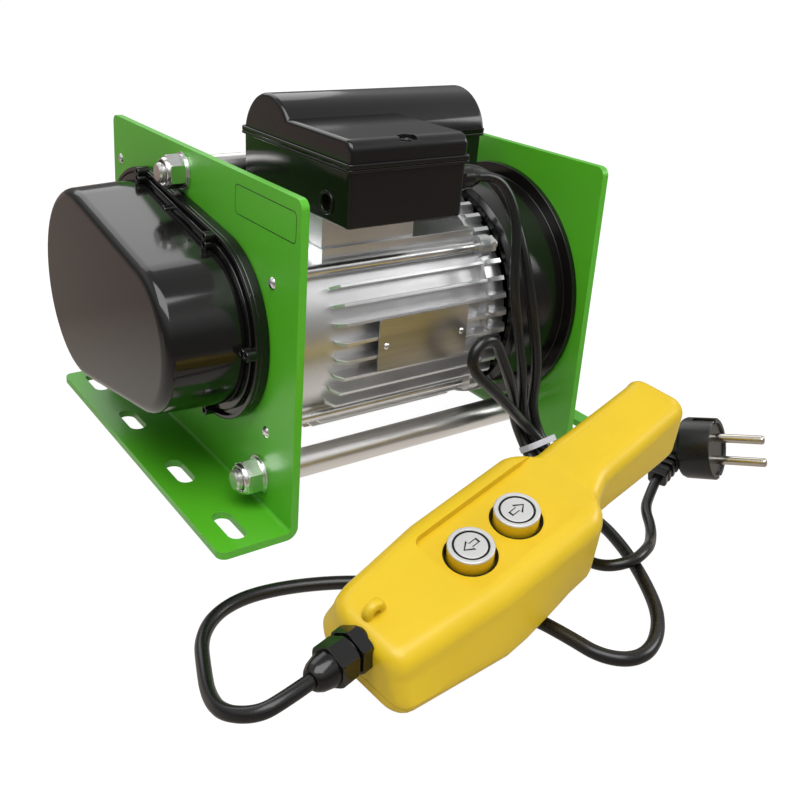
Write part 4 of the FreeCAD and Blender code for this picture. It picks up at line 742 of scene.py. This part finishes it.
def shellMesh(rings, arcSteps=7, flatSteps=5):
    build = bmesh.new()
    loops = []
    for x, far, near, top, bottom, radius in rings:
        radius = min(radius, far - 0.5, near - 0.5, (top - bottom) / 2 - 0.5)
        flare = handset["flare"] * max(0, min(1, (40 - x) / 60))
        corners = [(far - radius, top - radius, 0), (radius - near, top - radius, 90),
                   (radius - near - flare, bottom + radius, 180), (far + flare - radius, bottom + radius, 270)]
        spots = []
        for index, (y, z, start) in enumerate(corners):
            turns = [math.radians(start + 90 * step / arcSteps) for step in range(arcSteps + 1)]
            arc = [(y + radius * math.cos(turn), z + radius * math.sin(turn)) for turn in turns]
            spots += arc
            nextY, nextZ, nextStart = corners[(index + 1) % 4]
            nextTurn = math.radians(nextStart)
            goal = (nextY + radius * math.cos(nextTurn), nextZ + radius * math.sin(nextTurn))
            lastY, lastZ = arc[-1]
            spots += [(lastY + (goal[0] - lastY) * step / flatSteps, lastZ + (goal[1] - lastZ) * step / flatSteps)
                      for step in range(1, flatSteps)]
        loops.append([build.verts.new(handsetFrame @ (Vector((x, y, z)) * 0.001)) for y, z in spots])
    count = len(loops[0])
    for low, high in zip(loops, loops[1:]):
        for index in range(count):
            after = (index + 1) % count
            build.faces.new((low[index], low[after], high[after], high[index]))
    build.faces.new(loops[0])
    build.faces.new(loops[-1])
    return build


def halfShell(name, level, keepAbove):
    build = shellMesh(handsetRings())
    bmesh.ops.recalc_face_normals(build, faces=build.faces)
    normal = handsetFrame.to_3x3() @ Vector((0, 0, 1))
    cut = bmesh.ops.bisect_plane(build, geom=build.verts[:] + build.edges[:] + build.faces[:],
                                 plane_co=handsetFrame @ Vector((0, 0, level * 0.001)), plane_no=normal,
                                 clear_inner=keepAbove, clear_outer=not keepAbove)
    edges = [item for item in cut["geom_cut"] if isinstance(item, bmesh.types.BMEdge)]
    bmesh.ops.contextual_create(build, geom=edges)
    return linked(name, meshFrom(build, name))


def faceSlab(name, line, near, far):
    piece = slab(name, line, line, near, far, byXY)
    piece.data.transform(faceFrame)
    return piece


def faceTurned(name, profile, x, y, steps=64):
    return turned(name, profile, faceFrame @ Matrix.Translation((x * 0.001, y * 0.001, 0)), steps)


# the shell in two halves, with the recess, the button wells and the eye
def makeHandset():
    front = halfShell("handsetUpper", handset["split"] + 0.25, True)
    left, right, rampEnd, half = handset["panel"]
    deep = handset["panelDeep"]
    line = roundCorners([(left, -half, 8), (rampEnd, -half, 5), (rampEnd, half, 5), (left, half, 8)], 6)
    panel = faceSlab("panelForm", line, -deep, 14)
    slope = [(right, -20), (rampEnd + 20, -20), (rampEnd + 20, 1.2), (right, -deep)]
    ramp = slab("rampForm", slope, slope, -40, 40, byXZ)
    ramp.data.transform(faceFrame)
    cutWith(panel, ramp)
    cutWith(front, panel)
    wide, low = handset["wellRadius"], -handset["wellDeep"]
    for place in handset["buttons"].values():
        well = faceTurned("wellForm", [(0, low), (wide, low), (wide, 8), (0, 8)], place, handset["buttonShift"])
        cutWith(front, well)
    easeEdges(front, 0.0013, 4, 28)
    eye = turned("eyeForm", [(2.9, -3.2), (6, -3.2), (7.4, -2.4), (7.9, 0), (7.4, 2.4), (6, 3.2), (2.9, 3.2),
                             (2.5, 0), (2.9, -3.2)],
                 faceFrame @ Matrix.Translation(Vector(handset["eye"]) * 0.001)
                 @ Matrix.Rotation(math.radians(90), 4, "X"))
    easeEdges(eye, 0)
    dress(joinPieces("handsetFront", [front, eye]), "pendant_yellow", rootBody, "pendant_front")
    back = halfShell("handsetBack", handset["split"] - 0.25, False)
    easeEdges(back, 0.0005, 2, 50)
    dress(back, "pendant_yellow", rootBody, "pendant_back")


# a yellow skirt and a silver cap with a ringed arrow, on a body of its own
def makeButton(name, place, body, heading):
    radius, high, shift = handset["buttonRadius"], handset["buttonHigh"], handset["buttonShift"]
    small, large = handset["grooveRadii"]
    skirt = faceTurned("skirt" + name, [(0, -9), (radius - 0.3, -9), (radius - 0.1, high - 1.9),
                                        (radius - 0.5, high - 1.6), (0, high - 1.6)], place, shift)
    easeEdges(skirt, 0.0002, 2)
    dress(skirt, "pendant_yellow", body, "button_" + name.lower())
    cap = faceTurned("cap" + name, [(0, high - 1.7), (radius - 0.1, high - 1.7), (radius, high - 0.7),
                                    (radius - 0.5, high - 0.1), (radius - 1.2, high), (large + 0.3, high - 0.1),
                                    (large, high - 0.8), (small, high - 0.8), (small - 0.3, high - 0.35),
                                    (0, high - 0.3)], place, shift, 72)
    easeEdges(cap, 0.0001, 1)
    dress(cap, "button_silver", body, "button_cap_" + name.lower())
    groove = faceTurned("groove" + name, [(small, high - 0.79), (large, high - 0.79), (large, high - 0.55),
                                          (small, high - 0.55), (small, high - 0.79)], place, shift, 72)
    dress(groove, "black_satin", body)
    outer = [(a * heading + place, b + shift) for a, b in handset["arrow"]]
    middle = Vector((place + 0.3 * heading, shift))
    inner = [(middle.x + (a - middle.x) * 0.82, middle.y + (b - middle.y) * 0.70) for a, b in outer]
    mark = ringSlab("arrow" + name, outer, inner, high - 0.4, high - 0.14, byXY)
    mark.data.transform(faceFrame)
    dress(mark, "black_satin", body)


# black rubber seal rings in the gap round each button; their black also stands in for the shade in that gap, as
# painted shade
def makeSealsAndGapShade():
    inner, outer = handset["buttonRadius"] + 0.8, handset["wellRadius"] - 0.1
    deep = -handset["panelDeep"]
    seals = []
    for place in handset["buttons"].values():
        seal = faceTurned("seal", [(inner, deep - 7), (outer, deep - 7), (outer, deep - 0.6),
                                   (inner, deep - 0.9), (inner, deep - 7)], place, handset["buttonShift"])
        easeEdges(seal, 0)
        seals.append(seal)
    dress(joinPieces("sealRings", seals), "black_rubber", rootBody, "button_seals")


# the gland runs from the end wall to where the cord enters it
def makeHandsetGland():
    start = handsetFrame @ (Vector(handset["gland"]) * 0.001)
    end = Vector(cords["pendant"]["points"][-1]) * 0.001
    matrix = Matrix.Translation(start) @ (end - start).to_track_quat("Z", "Y").to_matrix().to_4x4()
    reach = (end - start).length * 1000
    lock = hexNut("glandLock", 25, 9)
    thread = turned("glandThread", [(0, -4), (10.4, -4), (10.4, 13), (0, 13)])
    easeEdges(thread, 0)
    dome = hexNut("glandDome", 23.5, 14)
    dome.data.transform(Matrix.Translation((0, 0, 0.0108)))
    nose = turned("glandNose", [(0, 22), (10.9, 22), (10.9, 25), (10.3, 28), (9, reach - 4.5),
                                (7.4, reach - 1.5), (6, reach), (0, reach)])
    easeEdges(nose, 0.0003, 2)
    gland = joinPieces("handsetGland", [lock, thread, dome, nose])
    gland.data.transform(matrix)
    dress(gland, "black_satin", rootBody, "pendant_gland")


makeHandset()
makeButton("Up", handset["buttons"]["up"], "raise_button", 1)
makeButton("Down", handset["buttons"]["down"], "lower_button", -1)
makeSealsAndGapShade()
makeHandsetGland()
print("handset made")


# lock nuts and washers on the rods
rodEnds = {
    "places": ((-119, 29.5), (138, 29.5), (15.5, 230.5)),
    "plate": 139,
    "washer": (15, 3),
    "across": 24,
    "hexHigh": 12,
    "collar": 4,
    "collarBore": 9.2,
    "thread": 8,
}


def makeRodNuts():
    seats = [along((side * rodEnds["plate"], y, z), (side, 0, 0))
             for side in (-1, 1) for y, z in rodEnds["places"]]
    radius, thick = rodEnds["washer"]
    bore = rodEnds["thread"] + 0.1
    step = thick * 0.6
    washer = turned("washerUnit", [(bore, 0), (radius, 0), (radius, thick * 0.55), (radius - 0.5, step),
                                   (radius - 1.6, step), (radius - 1.6, thick), (bore, thick), (bore, 0)])
    easeEdges(washer, 0.0002, 2)
    dress(repeatUnit("rodWashers", washer, seats, "zinc_steel"), "zinc_steel", rootBody, "tie_washers")
    high, inner = rodEnds["hexHigh"], rodEnds["collarBore"]
    top = high + rodEnds["collar"]
    nut = hexNut("nutUnit", rodEnds["across"], high, 0.0004)
    cutWith(nut, turned("nutHole", [(0, -1), (bore, -1), (bore, high - 2), (inner + 0.1, high - 1.9),
                                    (inner + 0.1, high + 1), (0, high + 1)]))
    ring = turned("collarUnit", [(inner, high - 2), (11.9, high - 2), (11.8, high + 0.6), (11.4, top - 2.2),
                                 (10.7, top - 1.3), (10, top - 1.1), (inner + 0.2, top - 1.6),
                                 (inner, top - 2.4), (inner, high - 2)])
    easeEdges(ring, 0.0003, 2)
    unit = joinPieces("lockNutUnit", [nut, ring])
    unit.data.transform(Matrix.Translation((0, 0, thick * 0.001)))
    dress(repeatUnit("rodNuts", unit, seats, "zinc_steel"), "zinc_steel", rootBody, "tie_nuts")


makeRodNuts()
print("nuts made")


# the band round the cords
band = {
    "place": (93.4, -172.6, 21.8),
    "axis": (0.08, -0.62, -0.78),
    "half": (14, 9.5),
    "thick": 1,
    "high": 5,
}


def makeBand():
    wide, tall = band["half"]
    thick = band["thick"]
    line = roundBlock(-wide - thick, -tall - thick, wide + thick, tall + thick, 6, 8)
    inner = roundBlock(-wide, -tall, wide, tall, 5.2, 8)
    piece = ringSlab("cordBand", line, inner, -band["high"] / 2, band["high"] / 2, byXY)
    axis = Vector(band["axis"]).normalized()
    across = (Vector((1, 0, 0.1)) - axis * axis.dot(Vector((1, 0, 0.1)))).normalized()
    turn = Matrix((across, axis.cross(across), axis)).transposed().to_4x4()
    piece.data.transform(Matrix.Translation(Vector(band["place"]) * 0.001) @ turn)
    easeEdges(piece, 0.0002, 2)
    return dress(piece, "tie_white", rootBody, "cord_tie")


# the printed line round the bare label on the left plate
label = {
    "near": (-161, 219),
    "far": (-74, 241),
    "radius": 4,
    "line": 0.6,
    "levels": (-138.9, -139.06),
}


def makeLabel():
    (left, low), (right, high), radius, line = label["near"], label["far"], label["radius"], label["line"]
    outer = roundBlock(left, low, right, high, radius)
    inner = roundBlock(left + line, low + line, right - line, high - line, radius - line)
    dress(ringSlab("labelOutline", outer, inner, *label["levels"], byYZ), "black_satin", rootBody)


cordBand = makeBand()
makeLabel()
print("band and label made")


# mains plug with its pins and the ribbed strain relief
plug = {
    "front": (204, -264, 33.1),
    "axis": (0.36, -0.891, 0.276),
    "radius": 25,
    "deep": 27,
    "pinRadius": 3.6,
    "pinReach": 37,
    "pinSpacing": 19,
    "clipHalf": 2.4,
    "slotHalf": 3.2,
    "cordEnd": (157, -246, 9),
    "reliefFoot": (179, -238, 19),
    "ribs": 4,
}


def plugFace(axis):
    rise = (Vector((0, 0, 1)) - axis * axis.z).normalized()
    turn = Matrix((rise.cross(axis), rise, axis)).transposed().to_4x4()
    return Matrix.Translation(Vector(plug["front"]) * 0.001) @ turn


def makePlugBody(axis, face):
    radius, deep, half = plug["radius"], plug["deep"], plug["slotHalf"]
    disc = turned("plugDisc", [(0, -deep - 9), (13, -deep - 9), (16, -deep - 7), (20, -deep - 1),
                               (radius - 4, -deep), (radius - 1.2, -deep + 1.2), (radius, -deep + 4),
                               (radius, -1), (radius - 1, 0), (21, 0), (20.4, -1.6), (0, -1.6)], steps=96)
    for side in (-1, 1):
        line = roundBlock(-half, side * radius - 3.6, half, side * radius + 3, 1, 4)
        cutWith(disc, slab("clipSlot", line, line, -17, 4, byXY))
    easeEdges(disc, 0.0005, 2)
    disc.data.transform(face)
    foot = Vector(plug["reliefFoot"])
    run = Vector(plug["front"]) - axis * (deep + 1) - foot
    bridge = slab("plugBridge", roundBlock(-10, -9, 10, 9, 4, 5), roundBlock(-14, -14, 14, 14, 5, 5), 0,
                  run.length, byXY)
    bridge.data.transform(along(foot, run))
    easeEdges(bridge, 0.002, 3)
    return dress(joinPieces("plugMoulding", [disc, bridge]), "black_rubber", rootBody, "plug_body")


def makePins(face):
    pins = []
    small, reach, half = plug["pinRadius"], plug["pinReach"], plug["clipHalf"]
    for side in (-1, 1):
        pins.append(turned("pin", [(0, -12), (small, -12), (small, reach - 1.6), (small - 0.5, reach - 0.5),
                                   (small - 1.4, reach), (0, reach)],
                           Matrix.Translation((0, side * plug["pinSpacing"] * 0.0005, 0)), 40))
        level = side * 22.8
        line = roundBlock(-half, level - 0.5, half, level + 0.5, 0.3, 2)
        pins.append(slab("clip", line, line, -15, -0.6, byXY))
    for pin in pins:
        easeEdges(pin, 0)
        pin.data.transform(face)
    return dress(joinPieces("plugPins", pins), "pin_nickel", rootBody, "plug_pins")


# ribs that widen from the cord to the plug, on a slim core
def makeRelief():
    foot, end = Vector(plug["reliefFoot"]), Vector(plug["cordEnd"])
    run = foot - end
    core = roundBlock(-6.6, -5.6, 6.6, 5.6, 3, 5)
    relief = [slab("reliefCore", core, core, 0.5, run.length + 2, byXY)]
    pitch = run.length / plug["ribs"]
    for rib in range(plug["ribs"]):
        wide, tall = 7.6 + rib * 0.7, 6.8 + rib * 0.7
        line = roundBlock(-wide, -tall, wide, tall, 3, 5)
        thick = 7 if rib == 0 else 3.8
        relief.append(slab("reliefRib", line, line, rib * pitch, rib * pitch + thick, byXY))
    for form in relief:
        form.data.transform(along(end, run))
        easeEdges(form, 0.0007, 3)
    return dress(joinPieces("strainRelief", relief), "black_rubber", rootBody, "strain_relief")


plugAxis = Vector(plug["axis"]).normalized()
plugPieces = [makePlugBody(plugAxis, plugFace(plugAxis)), makePins(plugFace(plugAxis)), makeRelief()]
print("plug made")
print("cords laid")


# floor, lights and background
studio = {
    "floorSize": 80,
    "floorTone": 0.55,
    "floorGlow": 1.17,
    "floorShare": 0.84,
    # painted reflection: the span along Y and the glowing tones that reflecting surfaces see on the floor, bright
    # under the winch and darker in front and behind
    "paintedReflectionReach": (-0.75, 0.45),
    "paintedReflection": [(0, (0.2, 0.17, 0.15)), (0.36, (0.42, 0.38, 0.34)), (0.56, (0.85, 0.8, 0.74)),
                 (0.74, (0.62, 0.56, 0.5)), (0.9, (0.36, 0.29, 0.255))],
    "skyTones": [(0, 0.16), (0.2, 0.2), (0.42, 0.5), (0.6, 0.8), (0.8, 0.55), (1, 0.4)],
    "soft": 0.36,
    "aim": (0, -0.05, 0.12),
    "lamps": {
        "keyLamp": ((-0.6, -0.7, 1.8), 1.9, 36),
        "sideLamp": ((1.5, -0.9, 0.9), 0.9, 9),
        "backLamp": ((0.2, 1.7, 1.6), 2.2, 14),
    },
}


def mixed(tree, links, share, first, second):
    node = tree.new("ShaderNodeMixShader")
    links.new(share, node.inputs["Fac"])
    links.new(first, node.inputs[1])
    links.new(second, node.inputs[2])
    return node.outputs["Shader"]


# nearly white to the camera with the shadow kept, and to what reflects it a painted reflection: a glowing tone by
# place along Y
def makeFloor():
    bpy.ops.mesh.primitive_plane_add(size=studio["floorSize"], location=(0, 0, -0.0002))
    floor = bpy.context.object
    floor.name = "floor"
    material, tree, links, shader = newMaterial("paleFloor")
    shader.inputs["Base Color"].default_value = (*[studio["floorTone"]] * 3, 1)
    shader.inputs["Roughness"].default_value = 0.7
    glow = tree.new("ShaderNodeEmission")
    glow.inputs["Strength"].default_value = studio["floorGlow"]
    rays = tree.new("ShaderNodeLightPath")
    share = tree.new("ShaderNodeMath")
    share.operation = "MULTIPLY"
    share.inputs[1].default_value = studio["floorShare"]
    links.new(rays.outputs["Is Camera Ray"], share.inputs[0])
    seen = mixed(tree, links, share.outputs[0], shader.outputs["BSDF"], glow.outputs["Emission"])
    place = tree.new("ShaderNodeSeparateXYZ")
    links.new(objectCoords(tree, links), place.inputs["Vector"])
    nearness = tree.new("ShaderNodeMapRange")
    nearness.inputs["From Min"].default_value = studio["paintedReflectionReach"][0]
    nearness.inputs["From Max"].default_value = studio["paintedReflectionReach"][1]
    links.new(place.outputs["Y"], nearness.inputs["Value"])
    # painted reflection: an emission by place, shown only to glossy rays in place of the lit floor
    paintedReflection = tree.new("ShaderNodeEmission")
    links.new(ramp(tree, links, nearness.outputs["Result"], studio["paintedReflection"]), paintedReflection.inputs["Color"])
    links.new(mixed(tree, links, rays.outputs["Is Glossy Ray"], seen, paintedReflection.outputs["Emission"]),
              tree["Material Output"].inputs["Surface"])
    floor.data.materials.append(material)


# white to the camera, dark low down and bright overhead to what reflects it
def makeWorld():
    world = bpy.data.worlds.new("studio")
    bpy.context.scene.world = world
    world.use_nodes = True
    tree, links = world.node_tree.nodes, world.node_tree.links
    rays = tree.new("ShaderNodeLightPath")
    coords = tree.new("ShaderNodeTexCoord")
    split = tree.new("ShaderNodeSeparateXYZ")
    links.new(coords.outputs["Generated"], split.inputs["Vector"])
    stops = [(place, (tone, tone, tone)) for place, tone in studio["skyTones"]]
    reflected = tree.new("ShaderNodeBackground")
    links.new(ramp(tree, links, split.outputs["Z"], stops), reflected.inputs["Color"])
    soft = tree["Background"]
    soft.inputs["Color"].default_value = (1, 1, 1, 1)
    soft.inputs["Strength"].default_value = studio["soft"]
    white = tree.new("ShaderNodeBackground")
    white.inputs["Color"].default_value = (1, 1, 1, 1)
    unseen = mixed(tree, links, rays.outputs["Is Glossy Ray"], soft.outputs["Background"],
                   reflected.outputs["Background"])
    links.new(mixed(tree, links, rays.outputs["Is Camera Ray"], unseen, white.outputs["Background"]),
              tree["World Output"].inputs["Surface"])


def makeLamps():
    for name, (place, width, power) in studio["lamps"].items():
        data = bpy.data.lights.new(name, "AREA")
        data.shape = "RECTANGLE"
        data.size = width
        data.size_y = width * 0.7
        data.energy = power
        lamp = linked(name, data)
        lamp.location = place
        lamp.rotation_euler = (Vector(studio["aim"]) - Vector(place)).to_track_quat("-Z", "Y").to_euler()


makeFloor()
makeWorld()
makeLamps()
bpy.context.scene.view_settings.view_transform = "Standard"
print("stage lit")
